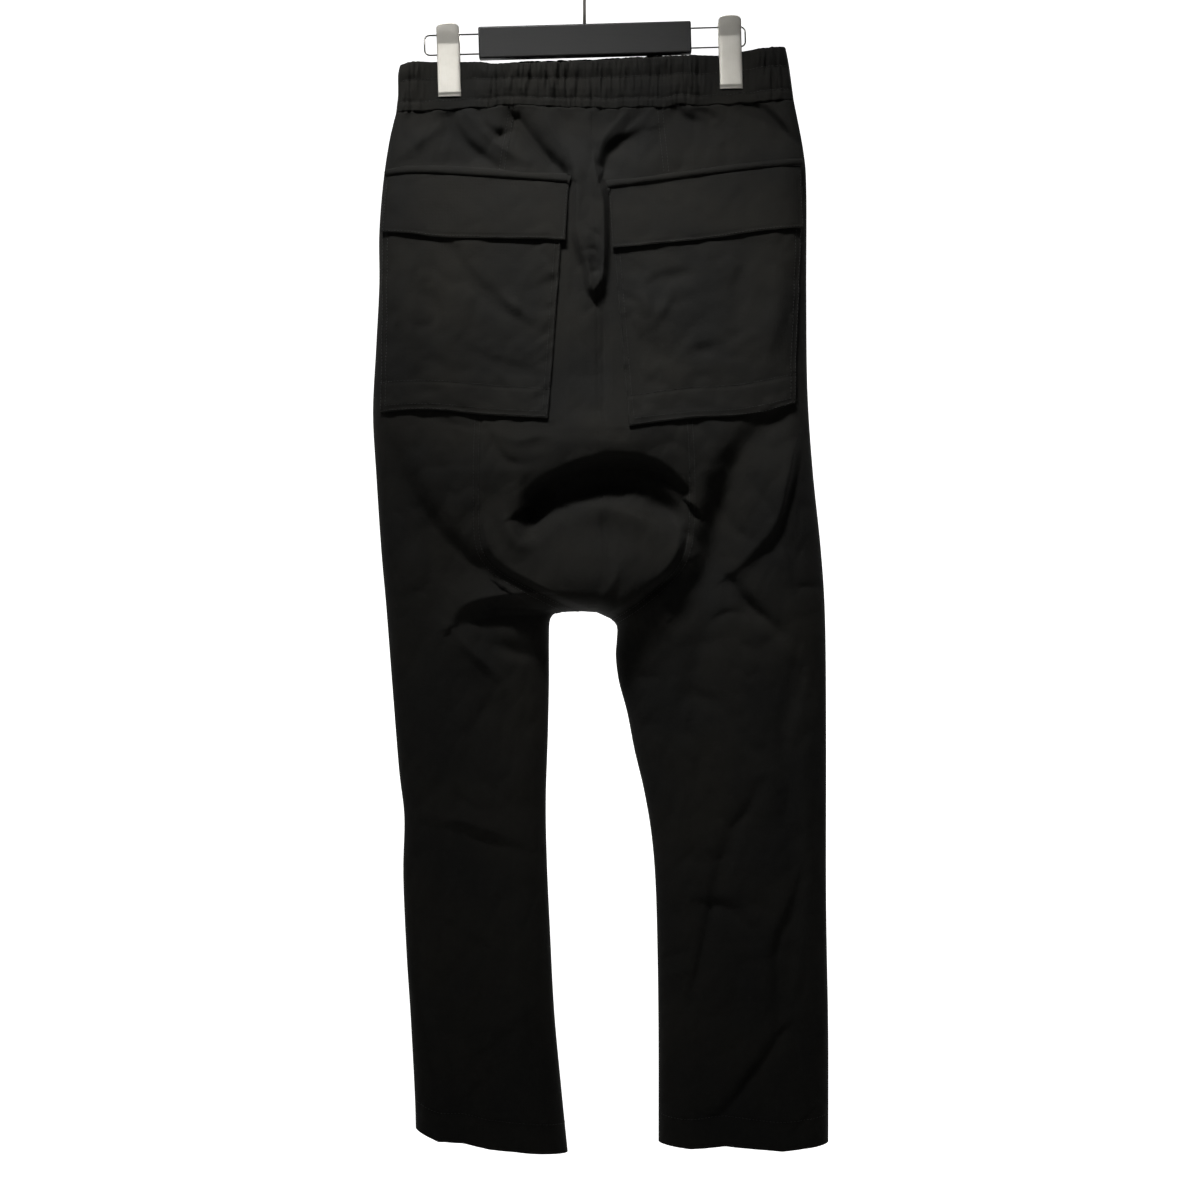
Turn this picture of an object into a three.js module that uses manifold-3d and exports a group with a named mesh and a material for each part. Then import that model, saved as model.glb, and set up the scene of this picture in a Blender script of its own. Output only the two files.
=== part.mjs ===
// Drop-crotch trousers in black cotton, hung flat by the waistband from a two-clip hanger.
// Millimetres, +Z up. The origin is the inside top of the hook, where a rail carries it.
// The back of the garment faces -Y and its front faces +Y. X runs to the right, seen from the back.
// Tables give places as across, to the right of the hook's axis, and down, below the hanger bar's top.
import * as THREE from "three";
import { mergeVertices } from "three/addons/utils/BufferGeometryUtils.js";
import Module from "manifold-3d";

const wasm = await Module();
wasm.setup();

// Driving dimensions
const SEAM_GAP = 0.3;
const CLOTH = 1.6;
const WAISTBAND_WALL = 2.6;
const POCKET_WALL = 1.2;
const FLAP_WALL = 1.8;
const WELT_WALL = 3;
const HOOK_WIRE = 3.2;
const HOOK_BEND = 22;
const HOOK_SHANK = 46;
const BAR = { length: 204, height: 30.5, depth: 13, bevel: 1.2 };
const HANGER_TILT = THREE.MathUtils.degToRad(1.6);
const LOOP = { wire: 1.6, upper: 6, lower: 25, reach: 154, corner: 5 };
const CLIP = { width: 22, top: -3.5, height: 69.5, plate: 1.2, lip: 3, ear: 1, earFoot: 33, hole: 1.1 };
const SPRING = { outer: 4.2, inner: 1.2, length: 18 };
const CLIP_PLACES = { left: -131, right: 139 };
const WAIST_HALF = { open: 11, clipped: 3.6, ends: 9 };
const GATHERS = 40;
const GATHER_HEIGHT = 0.9;

const BAR_TOP = -(HOOK_BEND - HOOK_WIRE / 2) - HOOK_BEND - HOOK_SHANK;

// Outline of the hanging garment, seen from the back
const OUTSEAM_LEFT = [
  { across: -177, down: 39 },
  { across: -179, down: 48 },
  { across: -179, down: 68 },
  { across: -181, down: 85 },
  { across: -187, down: 110 },
  { across: -193, down: 150 },
  { across: -197, down: 200 },
  { across: -197, down: 250 },
  { across: -200, down: 310 },
  { across: -203, down: 372 },
  { across: -200, down: 430 },
  { across: -195, down: 505 },
  { across: -190, down: 562 },
  { across: -184, down: 640 },
  { across: -178, down: 715 },
  { across: -173, down: 760 },
  { across: -174, down: 815 },
  { across: -171, down: 888 },
  { across: -167, down: 950 },
  { across: -163, down: 1025 },
  { across: -162, down: 1058 },
];
const OUTSEAM_RIGHT = [
  { across: 193, down: 22 },
  { across: 196, down: 37 },
  { across: 199, down: 58 },
  { across: 201, down: 73 },
  { across: 210, down: 120 },
  { across: 213, down: 158 },
  { across: 213, down: 260 },
  { across: 214, down: 350 },
  { across: 219, down: 427 },
  { across: 227, down: 505 },
  { across: 231, down: 571 },
  { across: 232, down: 680 },
  { across: 232, down: 840 },
  { across: 234, down: 965 },
  { across: 234, down: 1071 },
];
const INSEAM_LEFT = [
  { across: -2, down: 563 },
  { across: -14, down: 563 },
  { across: -27, down: 564.5 },
  { across: -33, down: 571 },
  { across: -34, down: 590 },
  { across: -34, down: 630 },
  { across: -35, down: 680 },
  { across: -37, down: 745 },
  { across: -36, down: 802 },
  { across: -33, down: 869 },
  { across: -29, down: 946 },
  { across: -22, down: 1022 },
  { across: -16, down: 1081 },
];
const INSEAM_RIGHT = [
  { across: 25, down: 570 },
  { across: 31, down: 577 },
  { across: 31, down: 590 },
  { across: 30, down: 606 },
  { across: 33, down: 630 },
  { across: 41, down: 660 },
  { across: 48, down: 696 },
  { across: 57, down: 734 },
  { across: 64, down: 775 },
  { across: 68, down: 821 },
  { across: 70, down: 888 },
  { across: 71, down: 974 },
  { across: 71, down: 1071 },
];
const CROTCH = [
  { across: -2, down: 563 },
  { across: 12, down: 564 },
  { across: 25, down: 570 },
];

// Seams and edges across the cloth
const WAISTBAND_TOP = [
  { across: -177, down: 39 },
  { across: -163, down: 36 },
  { across: -105, down: 36 },
  { across: -88, down: 39 },
  { across: -43, down: 38 },
  { across: 15, down: 36 },
  { across: 63, down: 33 },
  { across: 102, down: 30.5 },
  { across: 130, down: 30 },
  { across: 154, down: 26 },
  { across: 170, down: 23 },
  { across: 193, down: 22 },
];
const WAIST_SEAM = {
  back: [
    { across: -181, down: 85 },
    { across: -65, down: 79 },
    { across: 7, down: 82 },
    { across: 68, down: 81 },
    { across: 201, down: 73 },
  ],
  front: [
    { across: -181, down: 85 },
    { across: 7, down: 82 },
    { across: 201, down: 73 },
  ],
};
const CENTRE_BACK = [
  { across: 7, down: 82 },
  { across: 9, down: 168 },
  { across: 12, down: 264 },
  { across: 13, down: 379 },
  { across: 16, down: 456 },
  { across: 18, down: 510 },
  { across: 12, down: 564 },
];
const CENTRE_FRONT = [
  { across: 7, down: 82 },
  { across: 9, down: 250 },
  { across: 12, down: 450 },
  { across: 12, down: 564 },
];
const SEAT_SEAM_LEFT = [
  { across: -65, down: 79 },
  { across: -78, down: 168 },
  { across: -91, down: 283 },
  { across: -97, down: 389 },
  { across: -98, down: 456 },
  { across: -97, down: 494 },
  { across: -90, down: 513 },
  { across: -76, down: 526 },
  { across: -49, down: 541 },
  { across: -17, down: 557 },
  { across: -2, down: 563 },
];
const SEAT_SEAM_RIGHT = [
  { across: 68, down: 81 },
  { across: 76, down: 168 },
  { across: 88, down: 283 },
  { across: 96, down: 392 },
  { across: 98, down: 446 },
  { across: 97, down: 490 },
  { across: 89, down: 516 },
  { across: 73, down: 535 },
  { across: 50, down: 554 },
  { across: 25, down: 570 },
];
const HEM_LEFT = [
  { across: -162, down: 1058 },
  { across: -139, down: 1067 },
  { across: -115, down: 1068 },
  { across: -90, down: 1074 },
  { across: -52, down: 1078 },
  { across: -16, down: 1081 },
];
const HEM_RIGHT = [
  { across: 71, down: 1071 },
  { across: 101, down: 1074 },
  { across: 135, down: 1071 },
  { across: 188, down: 1076 },
  { across: 234, down: 1071 },
];

// Half the cloth's depth, front to back, down the garment
const HALF_DEPTH = [
  { down: 80, back: 11, front: 11 },
  { down: 130, back: 20, front: 19 },
  { down: 200, back: 26, front: 25 },
  { down: 320, back: 33, front: 30 },
  { down: 430, back: 38, front: 34 },
  { down: 540, back: 31, front: 37 },
  { down: 640, back: 26, front: 36 },
  { down: 760, back: 24, front: 31 },
  { down: 900, back: 25, front: 27 },
  { down: 1085, back: 26, front: 24 },
];
const SIDE_ROUND = 1.3;
const CROTCH_ROUND = 1.5;
const FOLD_FADE = 26;
// The pouch keeps its fullness nearer the crotch: both distances shrink there
const POUCH_ROUND = { share: 0.45, fade: 0.6, middle: 12, wide: 70, from: 556, to: 620 };
const LEAST_SHARE = 0.25;

// Soft swellings: wide and tall are the distances over which each dies away
const BACK_SWELLS = [
  { name: "seat above the pouch", across: 10, down: 408, wide: 96, tall: 44, rise: 18 },
  { name: "pouch", across: 6, down: 538, wide: 78, tall: 36, rise: 22 },
  { name: "left side of the seat", across: -74, down: 462, wide: 40, tall: 45, rise: 6 },
];
const FRONT_SWELLS = [
  { name: "dropped front", across: 12, down: 470, wide: 110, tall: 90, rise: 10 },
];

// Largest folds: each follows its path, rises out of the cloth or sinks into it, and dies away over width,
// or over far on the other side of the path. start and end are the shares of the rise kept there. A power over 2
// gives a fold a flat bottom with steep sides, and one under 2 a sharp crest.
const BACK_FOLDS = [
  {
    name: "shadow above the pouch",
    path: [[-44, 456], [-28, 445], [-4, 434], [28, 427], [64, 432], [90, 452]],
    rise: -29, width: 9, far: 27, start: 0.5, end: 0.4, power: 3.2,
  },
  {
    name: "shadow right of the pouch",
    path: [[34, 452], [62, 456], [84, 474], [102, 498]],
    rise: -13, width: 12, far: 13, start: 0.2, end: 0.3, power: 2.4,
  },
  {
    name: "crest of the pouch",
    path: [[-28, 476], [-8, 468], [18, 465], [48, 474], [76, 490], [94, 510]],
    rise: 6, width: 5, far: 16, start: 0.2, end: 0.4,
  },
  {
    name: "pleat at the left end of the shadow",
    path: [[-34, 462], [-42, 472], [-48, 484], [-44, 492]],
    rise: -13, width: 6, far: 11, start: 0.7, end: 0.3,
  },
  {
    name: "lip of that pleat",
    path: [[-76, 454], [-70, 476], [-57, 494], [-42, 490], [-28, 478]],
    rise: 5, width: 5, far: 9, start: 0.2, end: 0.3,
  },
  {
    name: "hollow below the tongue",
    path: [[18, 262], [24, 300], [31, 340], [38, 384]],
    rise: -8, width: 6, far: 15, start: 0.4, end: 0.3,
  },
  {
    name: "waist fold to the left pocket's corner",
    path: [[-64, 92], [-44, 119], [-18, 146]],
    rise: -12, width: 5, far: 11, start: 0.7, end: 0.9, power: 1.8,
  },
  {
    name: "short waist fold, left",
    path: [[-94, 101], [-82, 107], [-68, 103]],
    rise: -8, width: 4, far: 10, start: 0.3, end: 0.3, power: 1.7,
  },
  {
    name: "waist fold over the left pocket",
    path: [[-128, 92], [-121, 104], [-110, 118], [-84, 138]],
    rise: -8, width: 5, far: 9, start: 0.8, end: 0.3, power: 1.7,
  },
  {
    name: "ridge between the left waist folds",
    path: [[-112, 86], [-98, 102], [-76, 122], [-56, 134]],
    rise: 6, width: 9, far: 5, start: 0.5, end: 0.3, power: 1.6,
  },
  {
    name: "ridge at the left hip",
    path: [[-172, 128], [-150, 108], [-134, 92]],
    rise: 4.5, width: 10, far: 6, start: 0.3, end: 0.3, power: 1.6,
  },
  {
    name: "sag above the left pocket",
    path: [[-160, 140], [-118, 134], [-72, 140]],
    rise: -7, width: 14, far: 8, start: 0.2, end: 0.3,
  },
  {
    name: "waist fold right of the tongue",
    path: [[19, 138], [24, 124], [36, 113], [58, 104]],
    rise: -11, width: 5, far: 13, start: 0.9, end: 0.2, power: 1.8,
  },
  {
    name: "short waist fold, right",
    path: [[90, 82], [97, 90], [118, 96]],
    rise: -4, width: 3.5, far: 9, start: 0.8, end: 0.2, power: 1.6,
  },
  {
    name: "right hip fold",
    path: [[160, 78], [180, 92], [201, 115]],
    rise: -9, width: 4.5, far: 9, start: 0.9, end: 0.4, power: 1.6,
  },
  {
    name: "right thigh channel",
    path: [[174, 382], [150, 408], [135, 440], [125, 478], [116, 520], [92, 556]],
    rise: -19, width: 17, far: 13, start: 0.3, end: 0.6,
  },
  {
    name: "right inner thigh hollow",
    path: [[150, 452], [138, 500], [120, 560], [104, 640]],
    rise: -9, width: 30, far: 14, start: 0.3, end: 0.3,
  },
  {
    name: "right thigh ridge",
    path: [[208, 371], [197, 420], [181, 478], [161, 504], [139, 526]],
    rise: 8, width: 3.5, far: 14, start: 0.3, end: 0.3, power: 1.6,
  },
  {
    name: "short right thigh fold",
    path: [[142, 537], [164, 562], [186, 578]],
    rise: -5, width: 5, far: 9, start: 0.5, end: 0.3, power: 1.6,
  },
  {
    name: "left thigh fold line",
    path: [[-196, 388], [-174, 430], [-152, 472], [-120, 510], [-92, 530]],
    rise: -12, width: 12, far: 30, start: 0.2, end: 0.8,
  },
  {
    name: "left thigh hollow",
    path: [[-158, 500], [-132, 540], [-150, 600]],
    rise: -8, width: 20, far: 26, start: 0.3, end: 0.3,
  },
  {
    name: "ridge at the left inner thigh",
    path: [[-126, 574], [-115, 557], [-82, 548], [-46, 546]],
    rise: 9, width: 15, far: 4, start: 0.4, end: 0.7, power: 1.6,
  },
  {
    name: "trough under that ridge",
    path: [[-118, 574], [-84, 561], [-40, 562]],
    rise: -9, width: 4, far: 15, start: 0.3, end: 0.9, power: 1.6,
  },
  {
    name: "second ridge, left thigh",
    path: [[-124, 581], [-107, 600], [-84, 622], [-78, 636]],
    rise: 6, width: 4, far: 12, start: 0.6, end: 0.3, power: 1.6,
  },
  {
    name: "left knee break",
    path: [[-158, 756], [-118, 762], [-80, 774], [-50, 788]],
    rise: 4, width: 10, far: 4, start: 0.4, end: 0.3, power: 1.6,
  },
  {
    name: "left calf fold",
    path: [[-150, 850], [-110, 880], [-54, 920]],
    rise: -3, width: 16, far: 12, start: 0.5, end: 0.3,
  },
  {
    name: "left shin ridge",
    path: [[-138, 966], [-96, 960], [-58, 946]],
    rise: 3, width: 9, far: 5, start: 0.3, end: 0.8, power: 1.6,
  },
  {
    name: "right knee crease",
    path: [[168, 726], [150, 758], [130, 800], [118, 860], [102, 932]],
    rise: -3.5, width: 8, far: 5, start: 0.4, end: 0.4, power: 1.6,
  },
  {
    name: "right outer channel",
    path: [[206, 626], [190, 690], [204, 790], [200, 860], [186, 948]],
    rise: -5, width: 6, far: 14, start: 0.5, end: 0.8,
  },
  {
    name: "right calf pinch",
    path: [[106, 838], [134, 846], [162, 868]],
    rise: -3.5, width: 4, far: 8, start: 0.4, end: 0.3, power: 1.6,
  },
  {
    name: "right ankle fold",
    path: [[190, 960], [162, 1000], [132, 1038], [110, 1042]],
    rise: -6, width: 9, far: 5, start: 0.8, end: 0.5, power: 1.6,
  },
];
const FRONT_FOLDS = [
  {
    name: "front waist fold, left",
    path: [[-70, 86], [-50, 118], [-20, 160]],
    rise: -6, width: 9, far: 10, start: 0.8, end: 0.3,
  },
  {
    name: "front waist fold, right",
    path: [[88, 84], [66, 120], [40, 160]],
    rise: -6, width: 10, far: 9, start: 0.8, end: 0.3,
  },
  {
    name: "front hip fold, left",
    path: [[-150, 88], [-166, 120], [-180, 150]],
    rise: -5, width: 9, far: 9, start: 0.8, end: 0.3,
  },
  {
    name: "front hip fold, right",
    path: [[160, 80], [180, 106], [196, 140]],
    rise: -5, width: 9, far: 9, start: 0.8, end: 0.3,
  },
  {
    name: "hanging fold, left of the centre front",
    path: [[-150, 330], [-110, 430], [-60, 500], [-20, 540]],
    rise: -12, width: 20, far: 16, start: 0.2, end: 0.8,
  },
  {
    name: "hanging fold, right of the centre front",
    path: [[172, 330], [136, 430], [90, 500], [46, 545]],
    rise: -12, width: 16, far: 20, start: 0.2, end: 0.8,
  },
  {
    name: "swag across the front",
    path: [[-60, 420], [-10, 462], [30, 464], [84, 424]],
    rise: -10, width: 16, far: 14, start: 0.3, end: 0.3,
  },
  {
    name: "front thigh ridge, left",
    path: [[-60, 590], [-100, 620], [-130, 670]],
    rise: 6, width: 12, far: 12, start: 0.7, end: 0.2,
  },
  {
    name: "front thigh ridge, right",
    path: [[60, 590], [110, 620], [150, 680]],
    rise: 6, width: 12, far: 12, start: 0.7, end: 0.2,
  },
  {
    name: "front knee break, left",
    path: [[-150, 780], [-100, 770], [-55, 792]],
    rise: -6, width: 11, far: 11, start: 0.4, end: 0.4,
  },
  {
    name: "front knee break, right",
    path: [[90, 770], [150, 764], [205, 790]],
    rise: -6, width: 11, far: 11, start: 0.4, end: 0.4,
  },
  {
    name: "front ankle fold, left",
    path: [[-140, 940], [-96, 985], [-46, 1010]],
    rise: -7, width: 11, far: 11, start: 0.5, end: 0.5,
  },
  {
    name: "front ankle fold, right",
    path: [[96, 1010], [146, 980], [206, 940]],
    rise: -7, width: 11, far: 11, start: 0.5, end: 0.5,
  },
];

// Fold of spare cloth that stands up between the pockets, by its left and right edges
const TONGUE = {
  left: [[-38, 90], [-20, 125], [-17, 143], [-12, 170], [-12, 205], [-3, 235], [2, 258], [10, 267]],
  right: [[38, 90], [20, 112], [14, 130], [18, 151], [23, 172], [25, 213], [21, 250], [10, 267]],
  rise: 12, edge: [-1.5, 6.5], starts: [92, 150],
};
// The waistband stays free of the folds, which begin at its seam
const FOLDS_BEGIN = [72, 86];
// Step down from the pouch to the legs, along the lower part of the seat's seams
const POUCH_STEP = { rise: 13, edge: [-2, 7], starts: [455, 515] };

// Back pockets: each edge runs from the outer end to the inner end of the pocket
const POCKETS = {
  left: {
    top: [{ across: -192, down: 166 }, { across: -110, down: 168 }, { across: -19, down: 172 }],
    foot: [{ across: -193, down: 374 }, { across: -142, down: 373 }, { across: -91, down: 378 }, { across: -34, down: 382 }],
    flapFoot: [{ across: -190, down: 202 }, { across: -158, down: 206 }, { across: -129, down: 209 }, { across: -18, down: 211 }],
    weltTop: [{ across: -187, down: 142 }, { across: -148, down: 141 }, { across: -62, down: 146 }, { across: -15, down: 150 }],
  },
  right: {
    top: [{ across: 208, down: 156 }, { across: 111, down: 166 }, { across: 24, down: 178 }],
    foot: [{ across: 199, down: 366 }, { across: 149, down: 378 }, { across: 101, down: 381 }, { across: 42, down: 389 }],
    flapFoot: [{ across: 206, down: 198 }, { across: 159, down: 204 }, { across: 111, down: 211 }, { across: 26, down: 219 }],
    weltTop: [{ across: 205, down: 132 }, { across: 159, down: 137 }, { across: 111, down: 143 }, { across: 22, down: 155 }],
  },
};
const POCKET_LIFT = 1;
const POCKET_PUFF = 2.4;
const POCKET_FOOT_BAND = { share: 0.87, height: 0.6 };
const FLAP_LIFT = { top: 1.6, foot: 4.6 };
const WELT_LIFT = 1.9;
const WELT_HEIGHT = 6.5;
const FOLDS_UNDER_POCKET = 0.1;

// Curves
const flat = (row) => new THREE.Vector2(row.across, row.down);
const spline = (rows) => new THREE.SplineCurve(rows.map(flat));
const dense = (rows, count) => spline(rows).getSpacedPoints(count);

function joined(...curves) {
  const path = new THREE.CurvePath();
  curves.forEach((curve) => path.add(curve));
  return path;
}

// The same curve moved sideways by distance, to its right as it runs down the garment
function beside(rows, distance) {
  const curve = spline(rows);
  const steps = rows.length * 4;
  const points = [];
  for (let i = 0; i <= steps; i++) {
    const at = curve.getPointAt(i / steps);
    const tangent = curve.getTangentAt(i / steps);
    points.push(new THREE.Vector2(at.x + tangent.y * distance, at.y - tangent.x * distance));
  }
  return new THREE.SplineCurve(points);
}

// Value of one named column of a table, at a place along another
function tableValue(rows, along, key, at) {
  const last = rows.length - 1;
  if (at <= rows[0][along]) return rows[0][key];
  if (at >= rows[last][along]) return rows[last][key];
  const i = rows.findIndex((row) => row[along] > at) - 1;
  const share = (at - rows[i][along]) / (rows[i + 1][along] - rows[i][along]);
  return THREE.MathUtils.lerp(rows[i][key], rows[i + 1][key], share);
}

// Distance from a point to a dense line, positive on the line's left as it runs down
function signedDistance(line, at) {
  let best = Infinity;
  let sign = 1;
  for (let i = 1; i < line.length; i++) {
    const from = line[i - 1];
    const step = { x: line[i].x - from.x, y: line[i].y - from.y };
    const share = THREE.MathUtils.clamp(
      ((at.x - from.x) * step.x + (at.y - from.y) * step.y) / (step.x ** 2 + step.y ** 2), 0, 1);
    const off = { x: at.x - from.x - share * step.x, y: at.y - from.y - share * step.y };
    const squared = off.x ** 2 + off.y ** 2;
    if (squared < best) {
      best = squared;
      sign = Math.sign(off.x * step.y - off.y * step.x) || 1;
    }
  }
  return sign * Math.sqrt(best);
}

const RIM_LEFT = dense(OUTSEAM_LEFT, 90);
const RIM_RIGHT = dense(OUTSEAM_RIGHT, 90);
const RIM_INNER = [
  ...dense(INSEAM_LEFT, 90).reverse(),
  ...dense(CROTCH, 6).slice(1, -1),
  ...dense(INSEAM_RIGHT, 90),
];
const smooth = (path) => new THREE.SplineCurve(path.map(([x, y]) => new THREE.Vector2(x, y))).getSpacedPoints(60);
const TONGUE_EDGES = [smooth(TONGUE.left), smooth(TONGUE.right)];
const SEAT_EDGES = [dense(SEAT_SEAM_LEFT, 60), dense(SEAT_SEAM_RIGHT, 60)];

const INNER_SIGN = Math.sign(signedDistance(RIM_INNER, { x: 10, y: 300 }));

// How far inside the outline a point lies: from either side, and from the crotch and inner legs
function clearances(at) {
  return {
    side: Math.min(signedDistance(RIM_LEFT, at), -signedDistance(RIM_RIGHT, at)),
    inner: signedDistance(RIM_INNER, at) * INNER_SIGN,
  };
}

// How far inside two edges that run down the garment a point lies, under 0 outside them
function betweenEdges(at, [left, right]) {
  return Math.min(signedDistance(left, at), -signedDistance(right, at));
}

// Quarter circle: 0 at an edge, 1 at reach and beyond
function roundOff(distance, reach) {
  const left = 1 - THREE.MathUtils.clamp(distance / reach, 0, 1);
  return Math.sqrt(1 - left * left);
}

function halfDepth(side, at) {
  const clipped = Object.values(CLIP_PLACES)
    .map((place) => Math.exp(-(((at.x - place) / 32) ** 4)))
    .reduce((sum, share) => sum + share, 0);
  const toEnd = THREE.MathUtils.smoothstep(Math.abs(at.x - 10), 120, 190);
  const unclipped = THREE.MathUtils.lerp(WAIST_HALF.open, WAIST_HALF.ends, toEnd);
  const waist = THREE.MathUtils.lerp(unclipped, WAIST_HALF.clipped, Math.min(1, clipped));
  const share = THREE.MathUtils.smoothstep(at.y, 66, 150);
  return THREE.MathUtils.lerp(waist, tableValue(HALF_DEPTH, "down", side, at.y), share);
}

function foldRise(fold, at) {
  let best = { squared: Infinity };
  let before = 0;
  fold.path.slice(1).forEach(([x, y], i) => {
    const [fromX, fromY] = fold.path[i];
    const step = { x: x - fromX, y: y - fromY };
    const length = Math.hypot(step.x, step.y);
    const share = THREE.MathUtils.clamp(
      ((at.x - fromX) * step.x + (at.y - fromY) * step.y) / length ** 2, 0, 1);
    const off = { x: at.x - fromX - share * step.x, y: at.y - fromY - share * step.y };
    const squared = off.x ** 2 + off.y ** 2;
    if (squared < best.squared) {
      best = { squared, along: before + share * length, right: off.x * step.y - off.y * step.x > 0 };
    }
    before += length;
  });
  const width = best.right ? fold.width : fold.far;
  const share = best.along / before;
  const kept = share < 0.5
    ? THREE.MathUtils.lerp(fold.start, 1, THREE.MathUtils.smoothstep(share, 0, 0.5))
    : THREE.MathUtils.lerp(1, fold.end, THREE.MathUtils.smoothstep(share, 0.5, 1));
  return fold.rise * kept * Math.exp(-((Math.sqrt(best.squared) / width) ** (fold.power ?? 2)));
}

const POCKET_FIELDS = Object.values(POCKETS).map(({ weltTop, foot }) => ({
  top: weltTop.toSorted((a, b) => a.across - b.across),
  foot: foot.toSorted((a, b) => a.across - b.across),
}));

// 1 where a pocket covers the cloth, 0 beside it
function underPocket(at) {
  return POCKET_FIELDS
    .map(({ top, foot }) => {
      const inside = Math.min(
        at.x - top[0].across,
        top.at(-1).across - at.x,
        at.y - tableValue(top, "across", "down", at.x),
        tableValue(foot, "across", "down", at.x) - at.y);
      return THREE.MathUtils.smoothstep(inside, -12, 0);
    })
    .reduce((most, share) => Math.max(most, share), 0);
}

// 1 in the pouch above the crotch, 0 beside it and on the legs
function inPouch(at) {
  const nearMiddle = Math.exp(-(((at.x - POUCH_ROUND.middle) / POUCH_ROUND.wide) ** 4));
  return nearMiddle * (1 - THREE.MathUtils.smoothstep(at.y, POUCH_ROUND.from, POUCH_ROUND.to));
}

// Distance of the cloth's outer face from the middle plane
function bodyDepth(side, at) {
  const { lerp, smoothstep } = THREE.MathUtils;
  const clear = clearances(at);
  const half = halfDepth(side, at);
  const pouch = inPouch(at);
  const crotchReach = half * CROTCH_ROUND * lerp(1, POUCH_ROUND.share, pouch);
  const base = half * roundOff(clear.side, half * SIDE_ROUND) * roundOff(clear.inner, crotchReach);
  const fade = roundOff(Math.min(clear.side, clear.inner), FOLD_FADE * lerp(1, POUCH_ROUND.fade, pouch));
  const swells = side === "back" ? BACK_SWELLS : FRONT_SWELLS;
  const folds = side === "back" ? BACK_FOLDS : FRONT_FOLDS;
  let extra = 0;
  for (const swell of swells) {
    extra += swell.rise
      * Math.exp(-(((at.x - swell.across) / swell.wide) ** 2) - ((at.y - swell.down) / swell.tall) ** 2);
  }
  let creases = 0;
  for (const fold of folds) creases += foldRise(fold, at);
  creases *= smoothstep(at.y, ...FOLDS_BEGIN);
  if (side === "back") {
    const covered = underPocket(at);
    creases *= lerp(1, FOLDS_UNDER_POCKET, covered);
    creases += TONGUE.rise * (1 - covered)
      * smoothstep(betweenEdges(at, TONGUE_EDGES), ...TONGUE.edge) * smoothstep(at.y, ...TONGUE.starts);
    creases += POUCH_STEP.rise
      * smoothstep(betweenEdges(at, SEAT_EDGES), ...POUCH_STEP.edge) * smoothstep(at.y, ...POUCH_STEP.starts);
  }
  const depth = base + (extra + creases) * fade;
  return SEAM_GAP / 2 + Math.max(depth, base * LEAST_SHARE);
}

const OUTWARD = { back: -1, front: 1 };

function place(side, at, depth) {
  return new THREE.Vector3(at.x, OUTWARD[side] * depth, BAR_TOP - at.y);
}

// Outward direction of the cloth at a point. On the outline it lies in the middle plane,
// and along the waist seam it is level.
function outward(side, at, { level = false } = {}) {
  const reach = 0.2;
  const around = [[reach, 0], [-reach, 0], [0, reach], [0, -reach]].map(([x, y]) => ({ x: at.x + x, y: at.y + y }));
  const least = (point) => Math.min(...Object.values(clearances(point)));
  const onRim = least(at) < 0.02;
  const [right, left, below, above] = around.map((point) => (onRim ? least(point) : bodyDepth(side, point)));
  const slope = { x: (right - left) / (2 * reach), y: (below - above) / (2 * reach) };
  return new THREE.Vector3(-slope.x, onRim ? 0 : OUTWARD[side], level ? 0 : slope.y).normalize();
}

// Closed sheet from a grid of outer points and a grid of inner points
function sheetGeometry(outer, inner, facesBack) {
  const rows = outer.length;
  const columns = outer[0].length;
  const points = [...outer.flat(), ...inner.flat()];
  const index = [];
  const outerAt = (row, column) => row * columns + column;
  const innerAt = (row, column) => rows * columns + row * columns + column;
  const quad = (a, b, c, d) => {
    if (facesBack) index.push(a, b, c, a, c, d);
    else index.push(a, c, b, a, d, c);
  };
  for (let row = 0; row + 1 < rows; row++) {
    for (let column = 0; column + 1 < columns; column++) {
      quad(outerAt(row, column), outerAt(row + 1, column), outerAt(row + 1, column + 1), outerAt(row, column + 1));
      quad(innerAt(row, column), innerAt(row, column + 1), innerAt(row + 1, column + 1), innerAt(row + 1, column));
    }
    quad(outerAt(row, 0), innerAt(row, 0), innerAt(row + 1, 0), outerAt(row + 1, 0));
    const last = columns - 1;
    quad(outerAt(row, last), outerAt(row + 1, last), innerAt(row + 1, last), innerAt(row, last));
  }
  for (let column = 0; column + 1 < columns; column++) {
    quad(outerAt(0, column), outerAt(0, column + 1), innerAt(0, column + 1), innerAt(0, column));
    const last = rows - 1;
    quad(outerAt(last, column), innerAt(last, column), innerAt(last, column + 1), outerAt(last, column + 1));
  }
  const geometry = new THREE.BufferGeometry().setFromPoints(points);
  geometry.setIndex(index);
  geometry.computeVertexNormals();
  return geometry;
}

const evenly = (count) => Array.from({ length: count + 1 }, (_, i) => i / count);
const closerAtEnds = (count) => evenly(count).map((share) => (1 - Math.cos(Math.PI * share)) / 2);

// Row places from a table of spans, each with its own number of rows
function spans(table) {
  const shares = [0];
  for (const { to, rows } of table) {
    const from = shares.at(-1);
    for (let i = 1; i <= rows; i++) shares.push(THREE.MathUtils.lerp(from, to, i / rows));
  }
  return shares;
}

const HEM_SHARE = 0.85;

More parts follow.
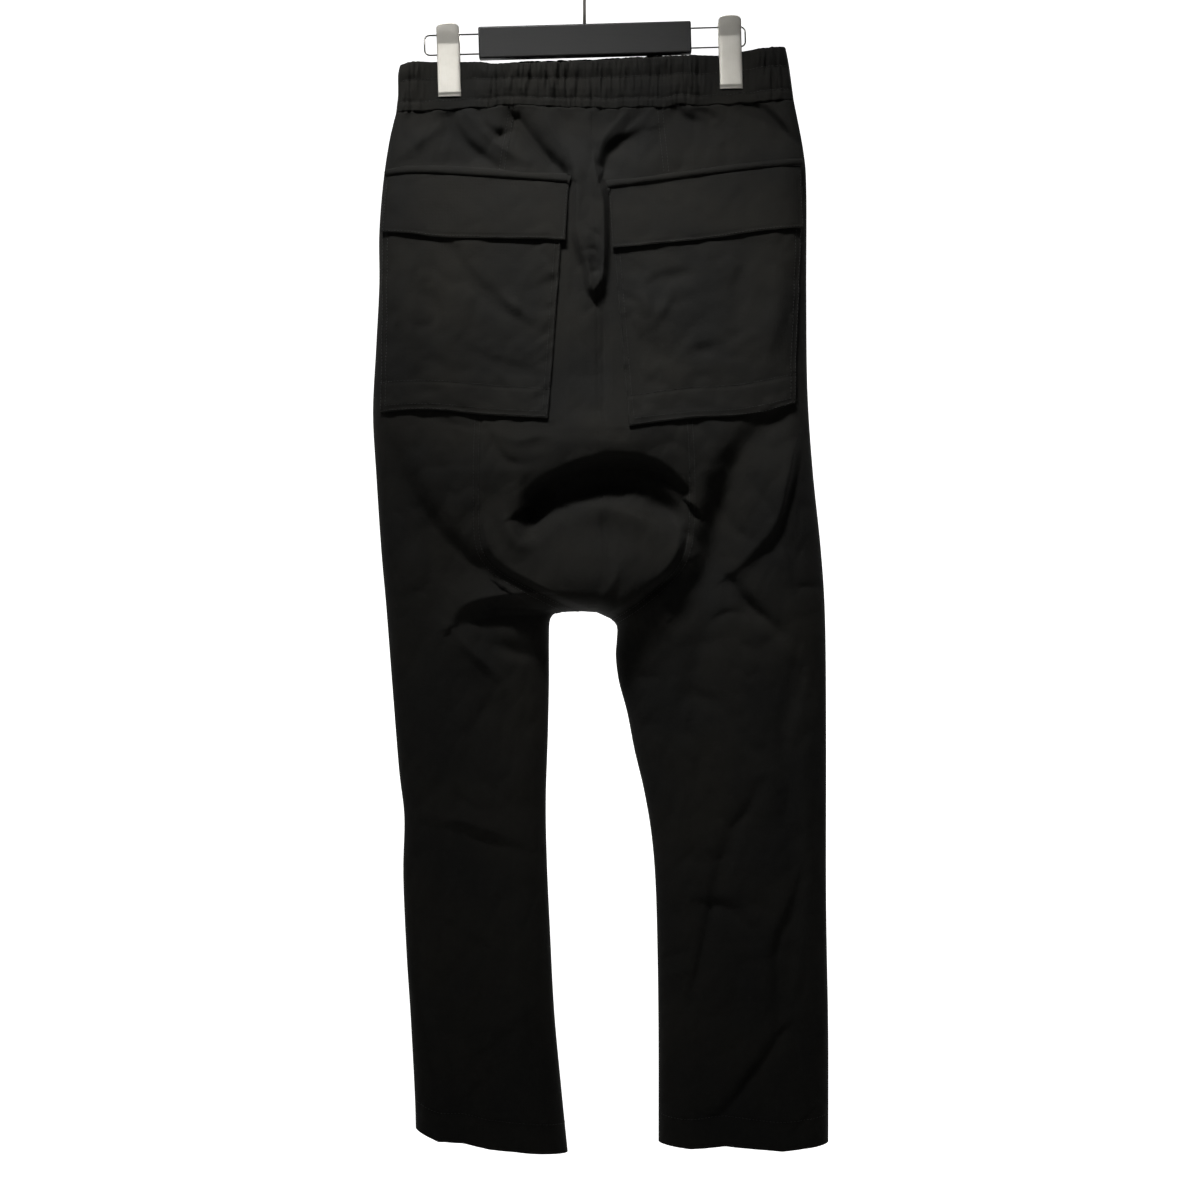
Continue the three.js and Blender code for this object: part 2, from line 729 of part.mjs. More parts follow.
// Panel of the body between two edges, from the waist seam down. Its foot follows the hem.
function bodyPanel({ side, left, right, columns, rows, hem }) {
  const outer = [];
  const inner = [];
  const [from, to] = [left.getPoint(1), right.getPoint(1)];
  rows.forEach((down, row) => {
    const ends = [left.getPoint(down), right.getPoint(down)];
    const outerRow = [];
    const innerRow = [];
    for (const across of columns) {
      const at = new THREE.Vector2().lerpVectors(...ends, across);
      if (row === 0) at.y += SEAM_GAP / 2;
      if (hem) {
        const foot = new THREE.Vector2().lerpVectors(from, to, across);
        const sag = tableValue(hem, "across", "down", foot.x) - foot.y;
        at.y += sag * THREE.MathUtils.smoothstep(down, HEM_SHARE, 1);
      }
      const point = place(side, at, bodyDepth(side, at));
      outerRow.push(point);
      innerRow.push(point.clone().addScaledVector(outward(side, at, { level: row === 0 }), -CLOTH));
    }
    outer.push(outerRow);
    inner.push(innerRow);
  });
  return sheetGeometry(outer, inner, side === "back");
}

const BELOW_WAIST = 3;
const LEG_OUTSEAM = {
  left: spline(OUTSEAM_LEFT.slice(BELOW_WAIST)),
  right: spline(OUTSEAM_RIGHT.slice(BELOW_WAIST)),
};
const INSEAM = { left: spline(INSEAM_LEFT), right: spline(INSEAM_RIGHT) };
const HEM = { left: HEM_LEFT, right: HEM_RIGHT };

// Rows of points, as shares of the seam above the crotch and of the inner leg below it
const BACK_ROWS = spans([
  { to: 0.08, rows: 3 },
  { to: 0.56, rows: 7 },
  { to: 0.9, rows: 12 },
  { to: 1, rows: 4 },
]);
const FRONT_ROWS = spans([
  { to: 0.08, rows: 2 },
  { to: 0.7, rows: 7 },
  { to: 1, rows: 6 },
]);
const LEG_ROWS = spans([
  { to: 0.08, rows: 4 },
  { to: 0.3, rows: 4 },
  { to: 1, rows: 11 },
]);

// Leg from the waist seam to the hem, between the outer seam and an inner edge that turns at the crotch
function leg({ side, hand, seam, inseam, upperRows, columns }) {
  const inner = joined(seam, inseam);
  const [seamLength, whole] = inner.getCurveLengths();
  const turn = seamLength / whole;
  const rows = [
    ...upperRows.map((share) => share * turn),
    ...LEG_ROWS.slice(1).map((share) => THREE.MathUtils.lerp(turn, 1, share)),
  ];
  const edges = [LEG_OUTSEAM[hand], inner];
  const [left, right] = hand === "left" ? edges : edges.reverse();
  return bodyPanel({ side, left, right, columns: closerAtEnds(columns), rows, hem: HEM[hand] });
}

function backLeg(hand) {
  const seam = hand === "left" ? beside(SEAT_SEAM_LEFT, -SEAM_GAP / 2) : beside(SEAT_SEAM_RIGHT, SEAM_GAP / 2);
  return leg({ side: "back", hand, seam, inseam: INSEAM[hand], upperRows: BACK_ROWS, columns: 10 });
}

function frontLeg(hand) {
  const seam = beside(CENTRE_FRONT, hand === "left" ? -SEAM_GAP / 2 : SEAM_GAP / 2);
  const inseam = spline([CROTCH[1], ...(hand === "left" ? INSEAM_LEFT : INSEAM_RIGHT)]);
  return leg({ side: "front", hand, seam, inseam, upperRows: FRONT_ROWS, columns: 8 });
}

function backSeat(hand) {
  const half = SEAM_GAP / 2;
  const left = hand === "left" ? beside(SEAT_SEAM_LEFT, half) : beside(CENTRE_BACK, half);
  const right = hand === "left" ? beside(CENTRE_BACK, -half) : beside(SEAT_SEAM_RIGHT, -half);
  return bodyPanel({ side: "back", left, right, columns: evenly(8), rows: BACK_ROWS });
}

// Elastic casing: two soft rolls above a flat stitched edge, crossed by gathers
const BAND_PROFILE = [
  { share: 0, rise: -0.9, gather: 0.5 },
  { share: 0.2, rise: 0.9, gather: 1 },
  { share: 0.42, rise: -0.7, gather: 0.7 },
  { share: 0.66, rise: 0.9, gather: 1 },
  { share: 0.88, rise: -0.6, gather: 0.6 },
  { share: 1, rise: -0.2, gather: 0.3 },
];
const FRONT_BAND_RISE = 5.6;

function waistband(side) {
  const count = GATHERS * 2;
  const shares = [0, 0.3 / count, ...evenly(count).slice(1, -1), 1 - 0.3 / count, 1];
  const outer = [];
  const inner = [];
  for (const { share, rise, gather } of BAND_PROFILE) {
    const outerRow = [];
    const innerRow = [];
    shares.forEach((across, column) => {
      const x = THREE.MathUtils.lerp(
        THREE.MathUtils.lerp(WAISTBAND_TOP[0].across, WAISTBAND_TOP.at(-1).across, across),
        THREE.MathUtils.lerp(WAIST_SEAM[side][0].across, WAIST_SEAM[side].at(-1).across, across), share);
      const between = THREE.MathUtils.smoothstep(Math.abs(x - 4), 60, 115);
      const higher = side === "front" ? FRONT_BAND_RISE * (1 - between) : 0;
      const top = tableValue(WAISTBAND_TOP, "across", "down", x) - higher;
      const foot = tableValue(WAIST_SEAM[side], "across", "down", x) - SEAM_GAP / 2;
      const at = new THREE.Vector2(x, THREE.MathUtils.lerp(top, foot, share));
      const onSide = column === 0 || column === shares.length - 1;
      if (onSide) at.x = tableValue(across < 0.5 ? OUTSEAM_LEFT : OUTSEAM_RIGHT, "down", "across", at.y);
      const depth = onSide ? SEAM_GAP / 2 : bodyDepth(side, at);
      const normal = outward(side, at, { level: true });
      if (onSide) normal.set(across < 0.5 ? -1 : 1, 0, 0);
      const room = THREE.MathUtils.clamp((depth - WAIST_HALF.clipped) / 4, 0, 1);
      const wave = (column % 2 ? 1 : -0.6) * GATHER_HEIGHT * gather;
      const point = place(side, at, depth);
      const raised = onSide ? 0 : (rise + wave) * room;
      outerRow.push(point.clone().addScaledVector(normal, raised));
      innerRow.push(point.clone().addScaledVector(normal, -WAISTBAND_WALL));
    });
    outer.push(outerRow);
    inner.push(innerRow);
  }
  return sheetGeometry(outer, inner, side === "back");
}

// Cloth that lies on the back panels: made from their points, moved out
function overlay({ top, foot, lift, wall, columns, rows, puff = 0, extra = () => 0 }) {
  const upper = spline(top);
  const lower = spline(foot);
  const forward = top[0].across < top.at(-1).across;
  const outer = [];
  const inner = [];
  for (const down of rows) {
    const outerRow = [];
    const innerRow = [];
    for (const share of columns) {
      const across = forward ? share : 1 - share;
      const at = new THREE.Vector2().lerpVectors(upper.getPointAt(across), lower.getPointAt(across), down);
      const normal = outward("back", at);
      const base = place("back", at, bodyDepth("back", at));
      const swell = puff * Math.sin(Math.PI * down) * Math.sin(Math.PI * share);
      const raised = THREE.MathUtils.lerp(lift[0], lift[1], down) + swell;
      outerRow.push(base.clone().addScaledVector(normal, raised + wall + extra(down)));
      innerRow.push(base.clone().addScaledVector(normal, raised));
    }
    outer.push(outerRow);
    inner.push(innerRow);
  }
  return sheetGeometry(outer, inner, true);
}

function pocket({ top, foot }) {
  return overlay({
    top, foot,
    lift: [POCKET_LIFT, POCKET_LIFT], wall: POCKET_WALL, puff: POCKET_PUFF,
    columns: closerAtEnds(10),
    rows: [...evenly(8).map((share) => share * POCKET_FOOT_BAND.share), 0.88, 1],
    extra: (down) => (down > POCKET_FOOT_BAND.share ? POCKET_FOOT_BAND.height : 0),
  });
}

const lowered = (rows, drop) => rows.map(({ across, down }) => ({ across, down: down + drop }));

function flap({ weltTop, flapFoot }) {
  return overlay({
    top: lowered(weltTop, WELT_HEIGHT + SEAM_GAP), foot: flapFoot,
    lift: [FLAP_LIFT.top, FLAP_LIFT.foot], wall: FLAP_WALL, puff: 1.5,
    columns: closerAtEnds(10), rows: evenly(4),
  });
}

function welt({ weltTop }) {
  return overlay({
    top: weltTop,
    foot: lowered(weltTop, WELT_HEIGHT),
    lift: [WELT_LIFT, WELT_LIFT], wall: WELT_WALL,
    columns: closerAtEnds(10), rows: evenly(2),
    extra: (down) => 1.2 * Math.sin(Math.PI * down),
  });
}

// Joins and cuts of hard pieces
function toSolid(geometry) {
  const bare = geometry.clone();
  bare.deleteAttribute("normal");
  bare.deleteAttribute("uv");
  const merged = mergeVertices(bare);
  return new wasm.Manifold(new wasm.Mesh({
    numProp: 3,
    vertProperties: merged.attributes.position.array,
    triVerts: new Uint32Array(merged.index.array),
  }));
}

function toGeometry(solid) {
  const { vertProperties, triVerts } = solid.getMesh();
  const geometry = new THREE.BufferGeometry();
  geometry.setAttribute("position", new THREE.BufferAttribute(vertProperties, 3));
  geometry.setIndex(new THREE.BufferAttribute(triVerts, 1));
  geometry.computeVertexNormals();
  return geometry;
}

function rodAlongX(radius, length, sides, x, y, z) {
  return toSolid(new THREE.CylinderGeometry(radius, radius, length, sides).rotateZ(Math.PI / 2).translate(x, y, z));
}

// Wire along a curve, with a round section of the given number of sides
function wire(curve, diameter, steps, sides) {
  const section = new THREE.Shape(
    evenly(sides).slice(0, -1).map((share) => new THREE.Vector2(
      (Math.cos(share * 2 * Math.PI) * diameter) / 2, (Math.sin(share * 2 * Math.PI) * diameter) / 2)));
  return new THREE.ExtrudeGeometry(section, { steps, extrudePath: curve });
}

class Arc3 extends THREE.Curve {
  constructor(centre, radius, from, to) {
    super();
    Object.assign(this, { centre, radius, from, to });
  }
  getPoint(share, target = new THREE.Vector3()) {
    const angle = THREE.MathUtils.lerp(this.from, this.to, share);
    return target.set(
      this.centre.x + Math.cos(angle) * this.radius, 0, this.centre.z + Math.sin(angle) * this.radius);
  }
}

// Straight shank, then round the right of the rail, over it and down its left
function hookGeometry() {
  const centre = new THREE.Vector3(0, 0, -(HOOK_BEND - HOOK_WIRE / 2));
  const [start, finish] = [-0.25 * Math.PI, 1.12 * Math.PI];
  const at = (x, z) => new THREE.Vector3(x, 0, z);
  const shankTop = at(0, centre.z - HOOK_BEND - 8);
  const join = new Arc3(centre, HOOK_BEND, start, finish);
  const onto = join.getPoint(0);
  const lead = 7;
  const path = joined(
    new THREE.LineCurve3(at(0, BAR_TOP + SEAM_GAP), shankTop),
    new THREE.CubicBezierCurve3(
      shankTop,
      at(0, shankTop.z + lead),
      at(onto.x - lead * Math.SQRT1_2, onto.z - lead * Math.SQRT1_2),
      onto),
    join);
  return wire(path, HOOK_WIRE, 32, 8);
}

function barGeometry() {
  const { length, height, depth, bevel } = BAR;
  const outline = new THREE.Shape();
  outline.moveTo(-length / 2 + bevel, -height + bevel);
  outline.lineTo(length / 2 - bevel, -height + bevel);
  outline.lineTo(length / 2 - bevel, -bevel);
  outline.lineTo(-length / 2 + bevel, -bevel);
  outline.closePath();
  const geometry = new THREE.ExtrudeGeometry(outline, {
    depth: depth - 2 * bevel, bevelThickness: bevel, bevelSize: bevel, bevelSegments: 2,
  });
  return geometry.translate(0, 0, -(depth - 2 * bevel) / 2).rotateX(Math.PI / 2);
}

function loopGeometry(direction) {
  const { wire: diameter, upper, lower, reach, corner } = LOOP;
  const at = (x, z) => new THREE.Vector3(x * direction, 0, z);
  const from = BAR.length / 2 + SEAM_GAP;
  const path = joined(
    new THREE.LineCurve3(at(from, -upper), at(reach - corner, -upper)),
    new THREE.QuadraticBezierCurve3(at(reach - corner, -upper), at(reach, -upper), at(reach, -upper - corner)),
    new THREE.LineCurve3(at(reach, -upper - corner), at(reach, -lower + corner)),
    new THREE.QuadraticBezierCurve3(at(reach, -lower + corner), at(reach, -lower), at(reach - corner, -lower)),
    new THREE.LineCurve3(at(reach - corner, -lower), at(from, -lower)));
  return wire(path, diameter, 28, 6);
}

// Clip plates: bent sheet, splayed at the top and closed on the cloth at the jaw
const JAW = WAIST_HALF.clipped + SEAM_GAP * 1.5;
const CLIP_BEND = [
  { down: 0, away: 8.6 },
  { down: 19, away: 5.6 },
  { down: CLIP.height - CLIP.lip, away: JAW + 1.1 },
];

// Shape from points of depth and height, extruded across the clip
function acrossClip(profile, width) {
  const geometry = new THREE.ExtrudeGeometry(
    new THREE.Shape(profile.map(([y, z]) => new THREE.Vector2(y, z))), { depth: width, bevelEnabled: false });
  const turned = new THREE.Matrix4().set(0, 0, 1, 0, 1, 0, 0, 0, 0, 1, 0, 0, 0, 0, 0, 1);
  return toSolid(geometry.translate(0, 0, -width / 2).applyMatrix4(turned));
}

function plateSolid() {
  const { width, height, plate, lip } = CLIP;
  const bend = CLIP_BEND.map(({ down, away }) => [away, -down]);
  const bent = acrossClip([
    ...bend,
    [JAW, -(height - lip)],
    [JAW, -height],
    [JAW + 1.1 + plate, -height],
    ...bend.map(([away, z]) => [away + plate, z]).reverse(),
  ], width);
  const half = width / 2 - 0.01;
  const face = new THREE.Shape();
  face.moveTo(-half, -height - 1);
  face.lineTo(half, -height - 1);
  face.lineTo(half, -3.4);
  face.quadraticCurveTo(half, -1.6, half - 2.4, -1.1);
  face.quadraticCurveTo(0, 0.9, -half + 2.4, -1.1);
  face.quadraticCurveTo(-half, -1.6, -half, -3.4);
  face.closePath();
  const cutter = new THREE.ExtrudeGeometry(face, { depth: 30, bevelEnabled: false, curveSegments: 6 });
  return bent.intersect(toSolid(cutter.rotateX(Math.PI / 2).translate(0, 30, 0)));
}

// The rear plate carries two ears, and the loop's wires run through them
function rearPlateSolid() {
  const { width, plate, ear, earFoot, hole, top } = CLIP;
  const near = -2.8;
  const bend = [4, 19, earFoot].map((down) => [tableValue(CLIP_BEND, "down", "away", down) + plate / 2, -down]);
  const profile = [[near, -earFoot], ...bend.reverse(), [near, -4]];
  let rear = plateSolid();
  for (const side of [-1, 1]) {
    rear = rear.add(acrossClip(profile, ear).translate(side * (width / 2 - ear / 2 - 0.02), 0, 0));
  }
  for (const level of [LOOP.upper, LOOP.lower]) {
    rear = rear.subtract(rodAlongX(hole, width + 4, 10, 0, 0, top - level));
  }
  return rear;
}

function springSolid() {
  const { outer, inner, length } = SPRING;
  const level = CLIP.top - LOOP.lower;
  return rodAlongX(outer, length, 16, 0, 0, level).subtract(rodAlongX(inner, length + 2, 12, 0, 0, level));
}

// The finished object
const BLACK_COTTON = new THREE.MeshStandardMaterial({ color: "#1d1d1c", roughness: 0.85, metalness: 0 });
const BLACK_LACQUER = new THREE.MeshStandardMaterial({ color: "#2a2a29", roughness: 0.5, metalness: 0 });
const SATIN_NICKEL = new THREE.MeshStandardMaterial({ color: "#a9a79e", roughness: 0.35, metalness: 1 });

const trousers = new THREE.Group();
function piece(name, geometry, material, parent = trousers) {
  const mesh = new THREE.Mesh(geometry, material.clone());
  mesh.name = name;
  parent.add(mesh);
  return mesh;
}

for (const side of ["back", "front"]) piece(`waistband_${side}`, waistband(side), BLACK_COTTON);
for (const hand of ["left", "right"]) {
  piece(`back_leg_${hand}`, backLeg(hand), BLACK_COTTON);
  piece(`back_seat_${hand}`, backSeat(hand), BLACK_COTTON);
  piece(`front_leg_${hand}`, frontLeg(hand), BLACK_COTTON);
  piece(`pocket_${hand}`, pocket(POCKETS[hand]), BLACK_COTTON);
  piece(`flap_${hand}`, flap(POCKETS[hand]), BLACK_COTTON);
  piece(`welt_${hand}`, welt(POCKETS[hand]), BLACK_COTTON);
}

piece("hanger_hook", hookGeometry(), SATIN_NICKEL);
const hanger = new THREE.Group();
hanger.position.set(0, 0, BAR_TOP);
hanger.rotation.y = -HANGER_TILT;
trousers.add(hanger);
piece("hanger_bar", barGeometry(), BLACK_LACQUER, hanger);
piece("hanger_loop_left", loopGeometry(-1), SATIN_NICKEL, hanger);
piece("hanger_loop_right", loopGeometry(1), SATIN_NICKEL, hanger);
for (const [hand, across] of Object.entries(CLIP_PLACES)) {
  const clip = new THREE.Group();
  clip.position.set(across, 0, -CLIP.top);
  hanger.add(clip);
  piece(`clip_${hand}_face`, toGeometry(plateSolid().mirror([0, 1, 0])), SATIN_NICKEL, clip);
  piece(`clip_${hand}_rear`, toGeometry(rearPlateSolid()), SATIN_NICKEL, clip);
  piece(`clip_${hand}_spring`, toGeometry(springSolid()), SATIN_NICKEL, clip);
}

export default trousers;
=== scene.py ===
# Black cotton drop-crotch trousers, seen from the back, hung flat by the waistband from a two-clip hanger.
# The frame is in metres. The tables below give places on the cloth in millimetres, as (across, down):
# across to the right of the hook's axis seen from the back, and down below the top of the hanger's bar.
import math

import bmesh
import bpy
import numpy as np
from mathutils import Matrix, Vector, noise


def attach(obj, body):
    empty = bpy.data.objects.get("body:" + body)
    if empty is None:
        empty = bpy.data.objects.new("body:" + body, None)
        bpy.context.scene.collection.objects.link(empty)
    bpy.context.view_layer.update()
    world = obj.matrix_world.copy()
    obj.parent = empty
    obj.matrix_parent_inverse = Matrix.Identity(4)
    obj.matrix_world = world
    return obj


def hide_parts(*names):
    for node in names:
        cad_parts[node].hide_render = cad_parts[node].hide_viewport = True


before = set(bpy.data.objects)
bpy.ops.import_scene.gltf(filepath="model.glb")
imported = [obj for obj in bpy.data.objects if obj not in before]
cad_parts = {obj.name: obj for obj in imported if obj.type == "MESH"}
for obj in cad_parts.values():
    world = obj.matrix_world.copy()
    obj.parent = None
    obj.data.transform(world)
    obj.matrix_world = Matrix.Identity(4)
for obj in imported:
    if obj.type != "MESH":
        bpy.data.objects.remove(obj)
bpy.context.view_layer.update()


# Camera: level and straight on to the back of the trousers, as the photograph was taken. The photograph is
# square and takes in 1.152 m at the middle plane of the cloth.
CAMERA_AWAY = 2.35
VIEW_WIDTH = 1.152
VIEW_CENTRE = (0.0149, -0.6404)

camera_data = bpy.data.cameras.new("camera")
camera_data.lens = camera_data.sensor_width * CAMERA_AWAY / VIEW_WIDTH
camera = bpy.data.objects.new("camera", camera_data)
camera.location = (VIEW_CENTRE[0], -CAMERA_AWAY, VIEW_CENTRE[1])
camera.rotation_euler = (math.pi / 2, 0, 0)
bpy.context.collection.objects.link(camera)
bpy.context.scene.camera = camera


# Studio: one sweep of matt white paper is floor and backdrop. A wide lamp above and left of the camera rakes
# over the hips, a small one reaches the legs, a large faint one fills the shadows, and one on the far side
# lights the front of the trousers. The room adds a little light from all round.
PAPER_WHITE = "#f4f4f2"
FLOOR_HEIGHT = -2.0
PAPER_FRONT, PAPER_BACK, PAPER_TOP, PAPER_HALF_WIDTH = -4.0, 3.6, 4.0, 7.0
PAPER_BEND = 1.0
PAPER_ROUGHNESS = 0.95
PAPER_GLOW = {"from": 0.6, "to": 2.2, "floor": 0.05, "backdrop": 1.0}
ROOM_LIGHT = 0.028


def linear(code):
    """Linear RGBA of an sRGB hex colour."""
    parts = [int(code[i:i + 2], 16) / 255 for i in (1, 3, 5)]
    return [*(p / 12.92 if p <= 0.04045 else ((p + 0.055) / 1.055) ** 2.4 for p in parts), 1.0]


def add_node(tree, kind, settings, inputs):
    """Shader node with its settings, each of its inputs fed with a value or with another node's socket."""
    node = tree.nodes.new(kind)
    for name, value in settings.items():
        setattr(node, name, value)
    for name, value in inputs.items():
        if isinstance(value, bpy.types.NodeSocket):
            tree.links.new(value, node.inputs[name])
        else:
            node.inputs[name].default_value = value
    return node


def new_material(name):
    """Material with its node tree, its shader and the object's own coordinates."""
    material = bpy.data.materials.new(name)
    material.use_nodes = True
    tree = material.node_tree
    coordinates = add_node(tree, "ShaderNodeTexCoord", {}, {})
    return material, tree, tree.nodes["Principled BSDF"], coordinates


def add_object(name, bm, material):
    """Object of one material with the mesh of bm, which is freed."""
    mesh = bpy.data.meshes.new(name)
    bm.to_mesh(mesh)
    bm.free()
    mesh.materials.append(material)
    thing = bpy.data.objects.new(name, mesh)
    bpy.context.collection.objects.link(thing)
    return thing


studio_paper, tree, shader, coordinates = new_material("matt_white_paper")
shader.inputs["Base Color"].default_value = linear(PAPER_WHITE)
shader.inputs["Roughness"].default_value = PAPER_ROUGHNESS
place = add_node(tree, "ShaderNodeSeparateXYZ", {}, {"Vector": coordinates.outputs["Object"]})
glow = add_node(tree, "ShaderNodeMapRange", {"interpolation_type": "SMOOTHSTEP"}, {
    "Value": place.outputs["Y"], "From Min": PAPER_GLOW["from"], "From Max": PAPER_GLOW["to"],
    "To Min": PAPER_GLOW["floor"], "To Max": PAPER_GLOW["backdrop"]})
shader.inputs["Emission Color"].default_value = (1, 1, 1, 1)
tree.links.new(glow.outputs["Result"], shader.inputs["Emission Strength"])

bm = bmesh.new()
corners = [bm.verts.new((x, PAPER_FRONT, FLOOR_HEIGHT)) for x in (-PAPER_HALF_WIDTH, PAPER_HALF_WIDTH)]
edge = bm.edges.new(corners)
bend = None
for move in ((0, PAPER_BACK - PAPER_FRONT, 0), (0, 0, PAPER_TOP - FLOOR_HEIGHT)):
    made = bmesh.ops.extrude_edge_only(bm, edges=[edge])["geom"]
    bmesh.ops.translate(bm, verts=[v for v in made if isinstance(v, bmesh.types.BMVert)], vec=move)
    bend = bend or next(e for e in made if isinstance(e, bmesh.types.BMEdge) and len(e.link_faces) == 1
                        and all(v in made for v in e.verts))
    edge = next(e for e in made if isinstance(e, bmesh.types.BMEdge) and all(v in made for v in e.verts))
bmesh.ops.bevel(bm, geom=[bend], offset=PAPER_BEND, segments=16, profile=0.5, affect="EDGES", material=-1)
bmesh.ops.recalc_face_normals(bm, faces=bm.faces)
for face in bm.faces:
    face.smooth = True
add_object("studio_paper", bm, studio_paper)


def add_lamp(name, place, aim, size, power, spread):
    """Soft lamp, size wide and tall, at place and turned towards aim."""
    data = bpy.data.lights.new(name, "AREA")
    data.shape = "RECTANGLE"
    data.size, data.size_y = size
    data.energy = power
    data.spread = math.radians(spread)
    lamp = bpy.data.objects.new(name, data)
    lamp.location = place
    lamp.rotation_euler = (Vector(aim) - Vector(place)).to_track_quat("-Z", "Y").to_euler()
    bpy.context.collection.objects.link(lamp)


add_lamp("key_lamp", (-0.26, -0.7, 0.64), (0.01, 0, -0.36), (0.5, 0.12), 1.2, 31)
add_lamp("leg_lamp", (-0.5, -1.1, -0.1), (-0.1, 0, -1.0), (0.3, 0.3), 0.13, 34)
add_lamp("fill_lamp", (-0.1, -2.1, 0.3), (0, 0, -0.5), (0.9, 0.9), 0.36, 170)
add_lamp("front_lamp", (0.8, 2.1, 0.4), (0, 0, -0.6), (1.0, 1.0), 16, 170)

world = bpy.data.worlds.new("studio_room")
world.use_nodes = True
world.node_tree.nodes["Background"].inputs["Color"].default_value = (1, 1, 1, 1)
world.node_tree.nodes["Background"].inputs["Strength"].default_value = ROOM_LIGHT
bpy.context.scene.world = world
bpy.context.scene.view_settings.view_transform = "Standard"


# Back legs: one panel of black cotton poplin for each leg, cut from the waist seam to the hem and sewn to the
# seat panel beside it. It hangs in soft folds, which are deepest around the dropped seat.
CLOTH = 0.9
SEAM_GAP = 0.3
SEWN_GAP = 0.04
BAR_TOP = -88.4
CLIP_PLACES = (-131, 139)
WAIST_HALF = {"open": 11, "clipped": 3.6, "ends": 9}
WAIST_MIDDLE = 10
CLIP_PRESS = 32
WAIST_NARROWS = (120, 190)
WAIST_WIDENS = (66, 150)
OUTSEAM = {
    "left": [
        (-177, 39), (-179, 48), (-179, 68), (-181, 85), (-187, 110), (-193, 150), (-197, 200), (-197, 250),
        (-200, 310), (-203, 372), (-200, 430), (-195, 505), (-190, 562), (-184, 640), (-178, 715),
        (-173, 760), (-174, 815), (-171, 888), (-167, 950), (-163, 1025), (-162, 1058),
    ],
    "right": [
        (193, 22), (196, 37), (199, 58), (201, 73), (210, 120), (213, 158), (213, 260), (214, 350),
        (219, 427), (227, 505), (231, 571), (232, 680), (232, 840), (234, 965), (234, 1071),
    ],
}
BAND_ROWS = 3
INSEAM = {
    "left": [
        (-2, 563), (-14, 563), (-27, 564.5), (-33, 571), (-34, 590), (-34, 630), (-35, 680), (-37, 745),
        (-36, 802), (-33, 869), (-29, 946), (-22, 1022), (-16, 1081),
    ],
    "right": [
        (25, 570), (31, 577), (31, 590), (30, 606), (33, 630), (41, 660), (48, 696), (57, 734), (64, 775),
        (68, 821), (70, 888), (71, 974), (71, 1071),
    ],
}
CROTCH = [(-2, 563), (12, 564), (25, 570)]
HEM = {
    "left": [(-162, 1058), (-139, 1067), (-115, 1068), (-90, 1074), (-52, 1078), (-16, 1081)],
    "right": [(71, 1071), (101, 1074), (135, 1071), (188, 1076), (234, 1071)],
}
SEAT_SEAM = {
    "left": [
        (-65, 79), (-78, 168), (-91, 283), (-97, 389), (-98, 456), (-97, 494), (-90, 513), (-76, 526),
        (-49, 541), (-17, 557), (-2, 563),
    ],
    "right": [
        (68, 81), (76, 168), (88, 283), (96, 392), (98, 446), (97, 490), (89, 516), (73, 535), (50, 554),
        (25, 570),
    ],
}
CENTRE_BACK = [(7, 82), (9, 168), (12, 264), (13, 379), (16, 456), (18, 510), (12, 564)]
CENTRE_FRONT = [(7, 82), (9, 250), (12, 450), (12, 564)]
WAIST_SEAM = {
    "back": [(-181, 85), (-65, 79), (7, 82), (68, 81), (201, 73)],
    "front": [(-181, 85), (7, 82), (201, 73)],
}
HALF_DEPTH = {
    "down": [80, 130, 200, 320, 430, 540, 640, 760, 900, 1085],
    "back": [11, 20, 26, 33, 38, 31, 26, 24, 25, 26],
    "front": [11, 19, 25, 30, 34, 37, 36, 31, 27, 24],
}
SIDE_ROUND = 1.3
CROTCH_ROUND = 1.5
POUCH_ROUND = {"share": 0.45, "fold_share": 0.6, "middle": 12, "wide": 70, "ends": (556, 620)}
FOLD_FADE = 26
LEAST_SHARE = 0.25

# Soft swellings as (across, down, wide, tall, rise)
SWELLS = {
    "back": [(10, 408, 96, 44, 18), (6, 538, 78, 36, 22), (-74, 462, 40, 45, 6)],
    "front": [(12, 470, 110, 90, 10)],
}


def crease(rise, widths, *path, ends=(0.3, 0.3), power=2.0):
    """Ridge or trough along a path. widths are its reach towards larger and towards smaller across where the
    path runs down the cloth, and ends the shares of its rise that are kept at the path's start and end.
    A power over 2 gives it a flat top with steep sides, and one under 2 a sharp crest."""
    return {"rise": rise, "widths": widths, "ends": ends, "path": path, "power": power}


def sharp(rise, widths, *path, ends=(0.3, 0.3)):
    """Crease with a sharp crest."""
    return crease(rise, widths, *path, ends=ends, power=1.5)


